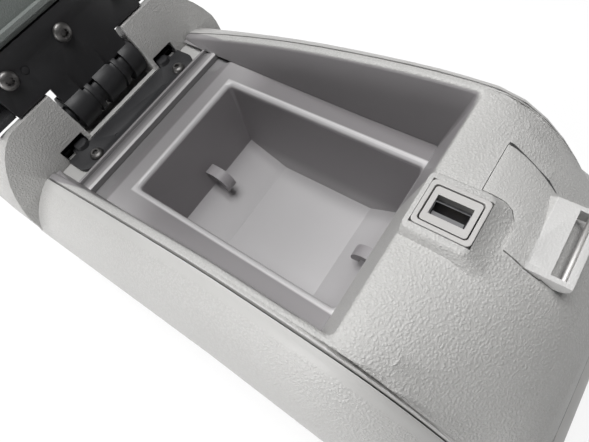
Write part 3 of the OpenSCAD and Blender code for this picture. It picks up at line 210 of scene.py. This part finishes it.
# Painted light and shade across the bar behind the liner: a shaded foot of the slope, a lit top, a painted
# highlight on the crest and painted shadow past the drop
barLightAndShade = {
    "lip": (0.28, 0.27, 0.275), "slopeShadow": (0.15, 0.145, 0.148), "slopeLit": (0.35, 0.34, 0.345),
    "crest": (0.5, 0.49, 0.49), "drop": (0.2, 0.195, 0.198),
}


def past(wire, place):
    return wire.above(*places[place])


def placeAcross(r):  # distance from the middle plane, less what the box widens towards the tail
    behind = (tail["start"] - r.axis("X")).maths("MAXIMUM", 0.0)
    return r.axis("Y").maths("ABSOLUTE") - behind * tail["spread"]


def insideOpening(r):  # walls of the opening and the bar behind it, less the front wall's right half
    behind = (tail["wallStart"] - r.axis("X")).maths("MAXIMUM", 0.0)
    across = placeAcross(r) - behind * tail["wallSpread"]
    along = r.axis("X") - past(r.axis("Y"), "leftHalf") * tail["wallLean"]
    return (1 - past(across, "openingSide")) * (1 - past(along, "openingFront"))


def nearSeam(r):  # rim of the trim along the seam
    return past(placeAcross(r), "trimRim")


def besideSeam(r):  # satin shoulder between the seam and the grained side
    return (1 - past(placeAcross(r), "shoulder")) * past(r.axis("X"), "earFront")


def onTongue(r):  # the flat catch tongue is finer grained, and painted lighter as its flat top faces the light
    return past(r.axis("X"), "tongueRoot") * tongueSatinAndLight


def insertSeamShadow(r, shift):  # painted shadow: a dark line along the gap at the curved far side of the catch insert
    x = r.axis("X")
    along = (x * 1000 - insertArc["start"]).maths("MAXIMUM", 0.0)
    curve = insertArc["half"] - along.maths("POWER", insertArc["power"]) * insertArc["fall"]
    off = (r.axis("Y") - curve - shift).maths("ABSOLUTE")
    return (1 - off.above(*insertArc["line"])) * past(x, "insertRear") * (1 - past(x, "insertFront"))


def noseSeamShadow(r):  # painted shadow: a dark line along the seam's gap at the edge of the trim, at the left corner of the nose
    along = (r.axis("X") - noseArc["x"]).maths("MAXIMUM", 0.0)
    across = (r.axis("Y") - noseArc["y"]).maths("MAXIMUM", 0.0)
    reach = (along * along + across * across).maths("POWER", 0.5)
    off = (reach - noseArc["radius"]).maths("ABSOLUTE")
    return (1 - off.above(*noseArc["line"])) * past(r.axis("X"), "noseStart")


def trimShade(r, colour):  # painted light and shade on the bar behind the liner, and painted shadow lines in the seams
    x = r.axis("X")
    bar = (1 - past(placeAcross(r), "openingSide")) * (1 - past(x, "barFront"))
    bar = bar * (1 - past(r.axis("Z"), "barTop"))
    slope = r.mix(past(x, "slope"), barLightAndShade["slopeShadow"], barLightAndShade["slopeLit"])
    slope = r.mix(past(x, "lipFront"), barLightAndShade["lip"], slope)
    slope = r.mix(past(x, "crest"), slope, barLightAndShade["crest"])
    slope = r.mix(past(x, "drop"), slope, barLightAndShade["drop"])
    colour = r.mix(noseSeamShadow(r), r.mix(bar, colour, slope), paintedSeamShadow)
    return r.mix(insertSeamShadow(r, insertArc["trimShift"]), colour, paintedGapShadow)


# painted shadow of the gap on the insert's edge
def insertShade(r, colour):
    return r.mix(insertSeamShadow(r, insertArc["insertShift"]), colour, paintedGapShadow)


def shellShade(r, colour):  # painted shadow on the shelf under the liner's flange
    x, z = r.axis("X"), r.axis("Z")
    shelf = (1 - past(placeAcross(r), "openingSide")) * past(x, "shelfRear") * past(z, "shelfLow")
    return r.mix(shelf * (1 - past(x, "shelfFront")), colour, paintedShelfShadow)


satinPlastic = {
    "patchScale": 18, "speckScale": 1500, "speckDepth": 0.03 * mm, "streakScale": 60,
    "streakStretch": (1, 0.12, 1), "toneEdge": (0.2, 0.8), "rough": 0.38, "roughSpread": 0.1,
    "streakRough": 0.05, "gloss": 0.5,
}


def satinMaterial(name, light, dark, rough=satinPlastic["rough"], grain=satinPlastic["speckDepth"],
                  gloss=satinPlastic["gloss"]):
    r = Recipe(name)
    s = satinPlastic
    patches = r.noise(s["patchScale"], 4)
    speck = r.noise(s["speckScale"], 4)
    streak = r.noise(s["streakScale"], 3, where=r.spot(s["streakStretch"]))
    colour = r.mix((patches * 0.6 + streak * 0.4).above(*s["toneEdge"]), dark, light)
    rough = rough + patches * s["roughSpread"] + streak * s["streakRough"]
    return r.finish(colour=colour, rough=rough, normal=r.bump(speck, grain), gloss=gloss)


# Liner tones carry painted light and shade: the floor is painted lit and the walls and flange shaded; the
# flange is darkest, in painted shadow, at its rear edge and beside the walls; the rim has a painted
# highlight.
liner = {
    "floor": (0.49, 0.48, 0.485), "walls": (0.31, 0.295, 0.305), "flange": (0.3, 0.29, 0.295),
    "flangeShadow": (0.18, 0.17, 0.175), "rim": (0.56, 0.55, 0.555), "rough": 0.4, "rimRough": 0.12,
    "patchShare": 0.12,
}


def linerMaterial(name):  # satin plastic with painted light and shade: a lit floor, shaded walls and flange, a painted highlight on the rim
    r = Recipe(name)
    s = satinPlastic
    x, y, z = r.axis("X"), r.axis("Y").maths("ABSOLUTE"), r.axis("Z")
    patches = r.noise(s["patchScale"], 4)
    speck = r.noise(s["speckScale"], 4)
    high = past(z, "flangeTop")
    # painted highlight along the rim, and painted shadow on the flange beside the tub's walls
    rimHighlight = high * (1 - past(y, "rimSide")) * past(x, "rimRear")
    besideTub = past(z, "besideTub") * past(y, "rimSide") * past(x, "besideTubRear")
    colour = r.mix(past(z, "tubFloor"), liner["floor"], liner["walls"])
    colour = r.mix(high, colour, r.mix(past(x, "flangeRear"), liner["flangeShadow"], liner["flange"]))
    colour = r.mix(besideTub, colour, liner["flangeShadow"])
    colour = r.mix(rimHighlight, colour, liner["rim"])
    colour = r.mix(patches * liner["patchShare"], colour, liner["walls"])
    normal = r.bump(speck, s["speckDepth"])
    rough = liner["rough"] + patches * s["roughSpread"] - rimHighlight * liner["rimRough"]
    return r.finish(colour=colour, rough=rough, normal=normal, gloss=s["gloss"])


steel = {"lineScale": 900, "brush": (1, 14, 1), "lineDepth": 0.012 * mm, "markScale": 160, "markRough": 0.16}


def steelMaterial(name, light, dark, rough):
    r = Recipe(name)
    lines = r.noise(steel["lineScale"], 3, where=r.spot(steel["brush"]))
    marks = r.noise(steel["markScale"], 5)
    colour = r.mix(lines * 0.5 + marks * 0.5, dark, light)
    normal = r.bump(lines, steel["lineDepth"])
    return r.finish(colour=colour, rough=rough + marks * steel["markRough"], metal=1.0, normal=normal)


coat = {
    "light": (0.055, 0.055, 0.058), "dark": (0.026, 0.026, 0.028), "rough": 0.4, "gloss": 0.45,
    "orangeScale": 900, "orangeDepth": 0.03 * mm, "markScale": 70, "markShare": 0.3, "markRough": 0.16,
    "rubScale": 240, "rubEdge": (0.55, 0.8), "rubShare": 0.5,
}


def coatedMaterial(name):  # satin black coat over pressed steel
    r = Recipe(name)
    orange = r.noise(coat["orangeScale"], 2)
    marks = r.noise(coat["markScale"], 5)
    rubs = r.noise(coat["rubScale"], 6, rough=0.7).above(*coat["rubEdge"])
    colour = r.mix(rubs * coat["rubShare"] + marks * coat["markShare"], coat["dark"], coat["light"])
    normal = r.bump(orange, coat["orangeDepth"])
    rough = coat["rough"] + marks * coat["markRough"]
    return r.finish(colour=colour, rough=rough, normal=normal, gloss=coat["gloss"])


leather = {
    "light": (0.04, 0.04, 0.042), "dark": (0.02, 0.02, 0.021), "rough": 0.42, "gloss": 0.45,
    "warp": 0.0016, "warpScale": 300, "pebbleScale": 520, "creaseScale": 150, "creaseShare": 0.3,
    "wrinkleScale": 38, "wrinkleDepth": 0.5, "wrinkleRough": 0.16, "depth": 0.22 * mm,
}


def leatherMaterial(name):
    r = Recipe(name)
    where = r.warped(leather["warp"], leather["warpScale"])
    cells = r.cells(leather["pebbleScale"], where=where).above(0.0, 0.3)
    creases = r.cells(leather["creaseScale"], where=where).above(0.0, 0.09)
    wrinkles = r.noise(leather["wrinkleScale"], 5, rough=0.6)
    pebble = cells * (1 - leather["creaseShare"]) + creases * leather["creaseShare"]
    colour = r.mix(pebble * 0.6 + wrinkles * 0.4, leather["dark"], leather["light"])
    normal = r.bump(pebble + wrinkles * leather["wrinkleDepth"], leather["depth"])
    rough = leather["rough"] + wrinkles * leather["wrinkleRough"]
    return r.finish(colour=colour, rough=rough, normal=normal, gloss=leather["gloss"])


rubber = {
    "light": (0.045, 0.045, 0.046), "dark": (0.02, 0.02, 0.021), "rough": 0.7, "bloomRough": 0.15,
    "bloomScale": 210, "speckScale": 2400, "speckDepth": 0.02 * mm, "gloss": 0.3,
}


def rubberMaterial(name):
    r = Recipe(name)
    bloom = r.noise(rubber["bloomScale"], 5)
    colour = r.mix(bloom, rubber["dark"], rubber["light"])
    normal = r.bump(r.noise(rubber["speckScale"], 2), rubber["speckDepth"])
    rough = rubber["rough"] + bloom * rubber["bloomRough"]
    return r.finish(colour=colour, rough=rough, normal=normal, gloss=rubber["gloss"])


print("materials")
shellFinish = grainedMaterial(
    "shellPlastic", (0.52, 0.515, 0.505), (0.44, 0.435, 0.425), depth=0.9,
    smooth=besideSeam, shade=shellShade)
# Inside the opening the trim is satin, and its satin tones are painted darker for the shade the walls lie
# in.
trimFinish = grainedMaterial(
    "trimPlastic", (0.52, 0.515, 0.505), (0.43, 0.425, 0.415), smooth=insideOpening, calm=nearSeam,
    satin=((0.26, 0.25, 0.256), (0.3, 0.287, 0.294)), shade=trimShade)
# The tongue's satin tones are painted light, lighter than the grained deck.
insertFinish = grainedMaterial(
    "insertPlastic", (0.52, 0.515, 0.505), (0.44, 0.435, 0.425), size=0.8, depth=0.7,
    smooth=onTongue, satin=((0.66, 0.655, 0.65), (0.62, 0.615, 0.61)), shade=insertShade)
linerFinish = linerMaterial("linerPlastic")
socketFinish = satinMaterial("socketPlastic", (0.5, 0.49, 0.48), (0.45, 0.44, 0.43), rough=0.4)
panelFinish = grainedMaterial(
    "panelPlastic", (0.27, 0.29, 0.28), (0.21, 0.23, 0.22), size=0.6, depth=0.5, rough=0.6)
lidFinish = grainedMaterial(
    "lidPlastic", (0.05, 0.05, 0.052), (0.03, 0.03, 0.032), size=0.8, depth=0.8, rough=0.5)
blackFinish = satinMaterial(
    "blackPlastic", (0.03, 0.03, 0.032), (0.018, 0.018, 0.02), rough=0.45, gloss=0.4)
tongueFinish = satinMaterial("socketTongue", (0.18, 0.18, 0.185), (0.13, 0.13, 0.135), rough=0.3)
coatFinish = coatedMaterial("blackCoat")
brightSteel = steelMaterial("brightSteel", (0.5, 0.5, 0.51), (0.3, 0.3, 0.31), rough=0.34)
screwSteel = steelMaterial("screwSteel", (0.3, 0.29, 0.28), (0.12, 0.12, 0.12), rough=0.4)
barSteel = steelMaterial("barSteel", (0.62, 0.61, 0.6), (0.5, 0.49, 0.48), rough=0.5)
darkSteel = steelMaterial("darkSteel", (0.22, 0.22, 0.23), (0.12, 0.12, 0.13), rough=0.3)
brassFinish = steelMaterial("contactBrass", (0.82, 0.62, 0.28), (0.66, 0.48, 0.2), rough=0.25)
leatherFinish = leatherMaterial("padLeather")
rubberFinish = rubberMaterial("bufferRubber")
threadFinish = satinMaterial(
    "padThread", (0.07, 0.07, 0.072), (0.04, 0.04, 0.042), rough=0.7, grain=0.02 * mm, gloss=0.3)

finishes = {
    "outer_shell": shellFinish, "upper_trim": trimFinish, "bin_liner": linerFinish,
    "base_pan": blackFinish, "base_screws": darkSteel, "trim_screws": darkSteel,
    "hinge_bracket": coatFinish, "bracket_screws": screwSteel, "hinge_pin": brightSteel,
    "pin_clips": brightSteel, "hinge_spacers": blackFinish, "catch_insert": insertFinish,
    "catch_bar": barSteel, "insert_screws": darkSteel, "usb_bezel": socketFinish,
    "usb_plate": socketFinish, "usb_socket": darkSteel, "usb_tongue": tongueFinish,
    "usb_contacts": brassFinish, "usb_housing": blackFinish, "hinge_arm": coatFinish,
    "lid_screws": screwSteel, "lid_shell": lidFinish, "lid_panel": panelFinish,
    "panel_screws": darkSteel, "lid_pad": leatherFinish, "lid_buffers": rubberFinish,
    "latch_lever": blackFinish, "latch_pin": brightSteel, "latch_spring": brightSteel,
}
for node, finish in finishes.items():
    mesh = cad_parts[node].data
    mesh.materials.clear()
    mesh.materials.append(finish)


# Rounded edges on the CAD nodes, in mm: weld the loose triangles, bevel what is sharp, shade smooth

edgeRounding = {
    "outer_shell": 0.7, "bin_liner": 0.5, "catch_insert": 0.35, "usb_bezel": 0.3, "usb_plate": 0.25,
    "hinge_arm": 0.5, "hinge_bracket": 0.4, "lid_panel": 0.5, "lid_shell": 0.6, "latch_lever": 0.3,
    "base_pan": 0.4, "usb_housing": 0.3, "catch_bar": 0.15,
}
edgeLimit = 34
weldGap = 0.01 * mm
creaseAngle = {"bin_liner": 16, "usb_plate": 20, "usb_bezel": 20, "catch_insert": 24, "lid_panel": 20}
usualCrease = 32


def smoothShading(name, angle):  # node group that shades smooth, apart from edges over the angle
    group = bpy.data.node_groups.new(name, "GeometryNodeTree")
    group.interface.new_socket("Geometry", in_out="INPUT", socket_type="NodeSocketGeometry")
    group.interface.new_socket("Geometry", in_out="OUTPUT", socket_type="NodeSocketGeometry")
    start = group.nodes.new("NodeGroupInput")
    end = group.nodes.new("NodeGroupOutput")
    faces = group.nodes.new("GeometryNodeSetShadeSmooth")
    edges = group.nodes.new("GeometryNodeSetShadeSmooth")
    edges.domain = "EDGE"
    bend = group.nodes.new("GeometryNodeInputMeshEdgeAngle")
    small = group.nodes.new("FunctionNodeCompare")
    small.operation = "LESS_THAN"
    small.inputs["B"].default_value = math.radians(angle)
    group.links.new(start.outputs[0], faces.inputs["Geometry"])
    group.links.new(faces.outputs[0], edges.inputs["Geometry"])
    group.links.new(bend.outputs["Unsigned Angle"], small.inputs["A"])
    group.links.new(small.outputs[0], edges.inputs["Shade Smooth"])
    group.links.new(edges.outputs[0], end.inputs[0])
    return group


smoothGroups = {angle: smoothShading("smoothShading%d" % angle, angle)
                for angle in sorted({usualCrease, *creaseAngle.values()})}
for node, finish in finishes.items():
    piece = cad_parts[node]
    weld = piece.modifiers.new("weld", "WELD")
    weld.merge_threshold = weldGap
    if node in edgeRounding:
        bevel = piece.modifiers.new("roundEdges", "BEVEL")
        bevel.width = edgeRounding[node] * mm
        bevel.segments = 2
        bevel.limit_method = "ANGLE"
        bevel.angle_limit = math.radians(edgeLimit)
        bevel.use_clamp_overlap = True
        bevel.harden_normals = False
    shading = piece.modifiers.new("smoothShading", "NODES")
    shading.node_group = smoothGroups[creaseAngle.get(node, usualCrease)]


def newObject(name, mesh, finish=None):
    thing = bpy.data.objects.new(name, mesh)
    bpy.context.scene.collection.objects.link(thing)
    if finish:
        mesh.materials.clear()
        mesh.materials.append(finish)
    return thing


def meshFrom(shape, name):
    mesh = bpy.data.meshes.new(name)
    shape.to_mesh(mesh)
    shape.free()
    return mesh


def baked(thing):  # the object's mesh with its modifiers applied
    bpy.context.view_layer.update()
    evaluated = thing.evaluated_get(bpy.context.evaluated_depsgraph_get())
    mesh = bpy.data.meshes.new_from_object(evaluated)
    old = thing.data
    thing.modifiers.clear()
    thing.data = mesh
    bpy.data.meshes.remove(old)
    return mesh


# Pad of the lid, a stuffed leather cushion with piping and a row of stitches.
# It is shaped with the lid shut and turned open at the end.

pad = {
    "voxel": 0.005, "pressure": 4.0, "frames": 20, "mostMove": 0.006, "startInset": 0.002,
    "halfSize": (0.13, 0.063, 0.03), "heightShare": 1.6, "glueReach": 0.0045, "smoothPasses": 3,
    "pipingDrop": 0.0062, "pipingRadius": 0.0013, "pipingOut": 0.0002, "stitchPitch": 0.0062,
    "stitchLength": 0.0042, "stitchRadius": 0.00038, "rowGap": 0.0044, "fill": 0.75,
    "seatGap": 0.0004, "seatSlope": -0.3, "seatReach": 0.006, "seatDepth": 0.02,
    "pathSteps": 180, "pathPower": 0.28, "pathOut": 1.02, "pathIn": 0.84,
    "pathHigh": 0.05, "pathBack": 0.4,
}
hingePlace = Vector((-0.122, 0, 0.08))
openTurn = math.radians(-96)
down = Vector((0, 0, -1))


def aboutHinge(angle):
    return Matrix.Translation(hingePlace) @ Matrix.Rotation(angle, 4, "Y") @ Matrix.Translation(-hingePlace)


def swollenPad():
    shape = bmesh.new()
    shape.from_mesh(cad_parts["lid_pad"].data)
    bmesh.ops.remove_doubles(shape, verts=shape.verts, dist=weldGap)
    shape.transform(aboutHinge(-openTurn))
    middle = sum((v.co for v in shape.verts), Vector()) / len(shape.verts)
    inset = pad["startInset"]
    halfX, halfY, halfZ = pad["halfSize"]
    size = (1 - inset / halfX, 1 - inset / halfY, 1 - inset * pad["heightShare"] / halfZ)
    bmesh.ops.scale(shape, verts=shape.verts, space=Matrix.Translation(-middle), vec=size)
    thing = newObject("padCushion", meshFrom(shape, "padCushion"))
    remesh = thing.modifiers.new("remesh", "REMESH")
    remesh.mode = "VOXEL"
    remesh.voxel_size = pad["voxel"]
    mesh = baked(thing)
    lidSide = bvh("lid_shell")
    held = thing.vertex_groups.new(name="held")
    for v in mesh.vertices:
        if lidSide.find_nearest(v.co)[3] < pad["glueReach"]:
            held.add([v.index], 1.0, "REPLACE")
    start = [v.co.copy() for v in mesh.vertices]
    cloth = thing.modifiers.new("cloth", "CLOTH")
    cloth.settings.use_pressure = True
    cloth.settings.uniform_pressure_force = pad["pressure"]
    cloth.settings.effector_weights.gravity = 0
    cloth.settings.vertex_group_mass = "held"
    cloth.point_cache.frame_start = 1
    cloth.point_cache.frame_end = pad["frames"]
    for frameNumber in range(1, pad["frames"] + 1):
        bpy.context.scene.frame_set(frameNumber)
    mesh = baked(thing)
    bpy.context.scene.frame_set(1)
    for v, was in zip(mesh.vertices, start):
        moved = v.co - was
        if moved.length > pad["mostMove"]:
            v.co = was + moved.normalized() * pad["mostMove"]
    smoothing = thing.modifiers.new("smooth", "SMOOTH")
    smoothing.iterations = pad["smoothPasses"]
    smoothing.factor = 0.5
    finer = thing.modifiers.new("finer", "SUBSURF")
    finer.levels = finer.render_levels = 1
    mesh = baked(thing)
    for v in mesh.vertices:  # the underside rests on the lid shell
        if v.normal.z < pad["seatSlope"]:
            seat = lidSide.ray_cast(v.co - down * pad["seatReach"], down, pad["seatDepth"])[0]
            if seat:
                v.co.z = seat.z + pad["seatGap"]
    return thing


def bvh(node):  # search tree over a node's surface, with the lid shut
    shape = bmesh.new()
    shape.from_mesh(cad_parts[node].data)
    shape.transform(aboutHinge(-openTurn))
    tree = BVHTree.FromBMesh(shape)
    shape.free()
    return tree


def padPath(thing, drop, out):  # points round the cushion's side, drop below its local top
    corners = [v.co for v in thing.data.vertices]
    tree = BVHTree.FromPolygons(corners, [face.vertices for face in thing.data.polygons])
    low, high = (Vector(end(co[i] for co in corners) for i in range(3)) for end in (min, max))
    middle = (low + high) / 2
    reach = (high - low) / 2
    points = []
    for step in range(pad["pathSteps"]):
        angle = math.tau * step / pad["pathSteps"]
        c, q = math.cos(angle), math.sin(angle)
        wideX, wideY = reach.x * pad["pathOut"], reach.y * pad["pathOut"]
        rim = Vector((middle.x + wideX * math.copysign(abs(c) ** pad["pathPower"], c),
                      middle.y + wideY * math.copysign(abs(q) ** pad["pathPower"], q), 0))
        inner = middle.lerp(rim, pad["pathIn"])
        top = tree.ray_cast(Vector((inner.x, inner.y, high.z + pad["pathHigh"])), down)[0]
        if top is None:
            continue
        height = top.z - drop
        inward = Vector((middle.x - rim.x, middle.y - rim.y, 0))
        begin = Vector((rim.x, rim.y, height)) - inward * pad["pathBack"]
        hit, normal = tree.ray_cast(begin, inward.normalized())[:2]
        if hit is not None:
            points.append(hit + normal * out)
    return points


def tubeAlong(name, points, radius, finish):  # closed tube
    curve = bpy.data.curves.new(name, "CURVE")
    curve.dimensions = "3D"
    curve.bevel_depth = radius
    curve.bevel_resolution = 3
    line = curve.splines.new("POLY")
    line.points.add(len(points) - 1)
    for at, point in zip(line.points, points):
        at.co = (*point, 1)
    line.use_cyclic_u = True
    thing = bpy.data.objects.new(name + "Curve", curve)
    bpy.context.scene.collection.objects.link(thing)
    bpy.context.view_layer.update()
    mesh = bpy.data.meshes.new_from_object(thing.evaluated_get(bpy.context.evaluated_depsgraph_get()))
    bpy.data.objects.remove(thing)
    shape = bmesh.new()
    shape.from_mesh(mesh)
    bmesh.ops.recalc_face_normals(shape, faces=shape.faces)
    for face in shape.faces:
        face.smooth = True
    return newObject(name, meshFrom(shape, name), finish)


def evenly(points, pitch):  # points at equal steps along a closed line, with the line's direction
    found = []
    carry = 0.0
    for a, b in zip(points, points[1:] + points[:1]):
        along = (b - a).length
        while carry < along:
            found.append((a.lerp(b, carry / along), (b - a).normalized()))
            carry += pitch
        carry -= along
    return found


def stitchRow(name, points, finish):
    shape = bmesh.new()
    for place, way in evenly(points, pad["stitchPitch"]):
        turn = way.to_track_quat("Z", "Y").to_matrix().to_4x4()
        size = Matrix.Diagonal((pad["stitchRadius"], pad["stitchRadius"], pad["stitchLength"] / 2, 1))
        bmesh.ops.create_uvsphere(shape, u_segments=6, v_segments=6, radius=1.0,
                                  matrix=Matrix.Translation(place) @ turn @ size)
    for face in shape.faces:
        face.smooth = True
    return newObject(name, meshFrom(shape, name), finish)


cushion = swollenPad()
for polygon in cushion.data.polygons:
    polygon.use_smooth = True
cushion.data.materials.clear()
cushion.data.materials.append(leatherFinish)
pipingPath = padPath(cushion, pad["pipingDrop"], pad["pipingOut"])
piping = tubeAlong("padPiping", pipingPath, pad["pipingRadius"], leatherFinish)
stitchPath = padPath(cushion, pad["pipingDrop"] + pad["rowGap"], 0.0)
lowStitches = stitchRow("padStitchesLow", stitchPath, threadFinish)
for part in (cushion, piping, lowStitches):
    part.data.transform(aboutHinge(openTurn))
    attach(part, "lid")
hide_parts("lid_pad")
print("pad")


# Camera at the photo's viewing angle

camera = {"place": (0.103793, -0.070403, 0.242099), "focal": 415, "width": 589, "sensor": 36,
          "nearest": 0.01}
right = Vector((0.81100613, 0.55898247, -0.17264894))
up = Vector((-0.44185172, 0.77865935, 0.44548476))
back = Vector((0.38345288, -0.28500564, 0.87848487))
lens = bpy.data.cameras.new("camera")
lens.sensor_width = camera["sensor"]
lens.lens = camera["focal"] / camera["width"] * camera["sensor"]
lens.clip_start = camera["nearest"]
eye = bpy.data.objects.new("camera", lens)
bpy.context.scene.collection.objects.link(eye)
eye.matrix_world = Matrix.Translation(camera["place"]) @ Matrix((right, up, back)).transposed().to_4x4()
bpy.context.scene.camera = eye


# Floor, soft lamps and a plain bright world

stage = {"floorSize": 6.0, "floorColour": (0.86, 0.86, 0.86), "floorGlow": 0.8, "worldLight": 0.03}
shape = bmesh.new()
bmesh.ops.create_grid(shape, x_segments=1, y_segments=1, size=stage["floorSize"])
floor = newObject("floor", meshFrom(shape, "floor"))
r = Recipe("floorPaper")
paper = {"Base Color": stage["floorColour"], "Roughness": 0.9, "Specular IOR Level": 0.1}
plain = r.add("ShaderNodeBsdfPrincipled", None, paper)
glow = r.add("ShaderNodeEmission", None, {"Color": (1, 1, 1), "Strength": 1.0})
isCamera = r.add("ShaderNodeLightPath", output="Is Camera Ray")
isGlossy = r.add("ShaderNodeLightPath", output="Is Glossy Ray")
isThrough = r.add("ShaderNodeLightPath", output="Is Transmission Ray")
seenRay = (isCamera + isGlossy + isThrough).maths("MINIMUM", 1.0)
both = r.add("ShaderNodeMixShader", None, {0: seenRay * stage["floorGlow"], 1: plain, 2: glow})
r.tree.links.new(both.socket, r.out.inputs["Surface"])
floor.data.materials.append(r.material)

world = bpy.data.worlds.new("studio")
world.use_nodes = True
bpy.context.scene.world = world
nodes = world.node_tree.nodes
nodes.clear()
worldOut = nodes.new("ShaderNodeOutputWorld")
lit = nodes.new("ShaderNodeBackground")
lit.inputs["Color"].default_value = (1, 1, 1, 1)
lit.inputs["Strength"].default_value = stage["worldLight"]
seen = nodes.new("ShaderNodeBackground")
seen.inputs["Color"].default_value = (1, 1, 1, 1)
seen.inputs["Strength"].default_value = 1.0
path = nodes.new("ShaderNodeLightPath")
choose = nodes.new("ShaderNodeMixShader")
either = nodes.new("ShaderNodeMath")
either.operation = "MAXIMUM"
world.node_tree.links.new(path.outputs["Is Camera Ray"], either.inputs[0])
world.node_tree.links.new(path.outputs["Is Transmission Ray"], either.inputs[1])
world.node_tree.links.new(either.outputs[0], choose.inputs[0])
world.node_tree.links.new(lit.outputs[0], choose.inputs[1])
world.node_tree.links.new(seen.outputs[0], choose.inputs[2])
world.node_tree.links.new(choose.outputs[0], worldOut.inputs["Surface"])

lampAim = Vector((0.0, 0.0, 0.05))
lamps = [
    # name, place, size, power
    ("rear", (-0.8, 0.0, 1.0), 0.6, 14.5),
    ("overhead", (0.0, 0.0, 1.1), 0.5, 8.5),
    ("lowNear", (-0.1, -0.88, 0.1), 0.2, 3.3),
]
for name, place, size, power in lamps:
    lamp = bpy.data.lights.new(name, "AREA")
    lamp.shape = "SQUARE"
    lamp.size = size
    lamp.energy = power
    holder = bpy.data.objects.new(name, lamp)
    bpy.context.scene.collection.objects.link(holder)
    holder.location = place
    holder.rotation_euler = (Vector(place) - lampAim).to_track_quat("Z", "Y").to_euler()

bpy.context.scene.view_settings.view_transform = "Standard"
print("stage")
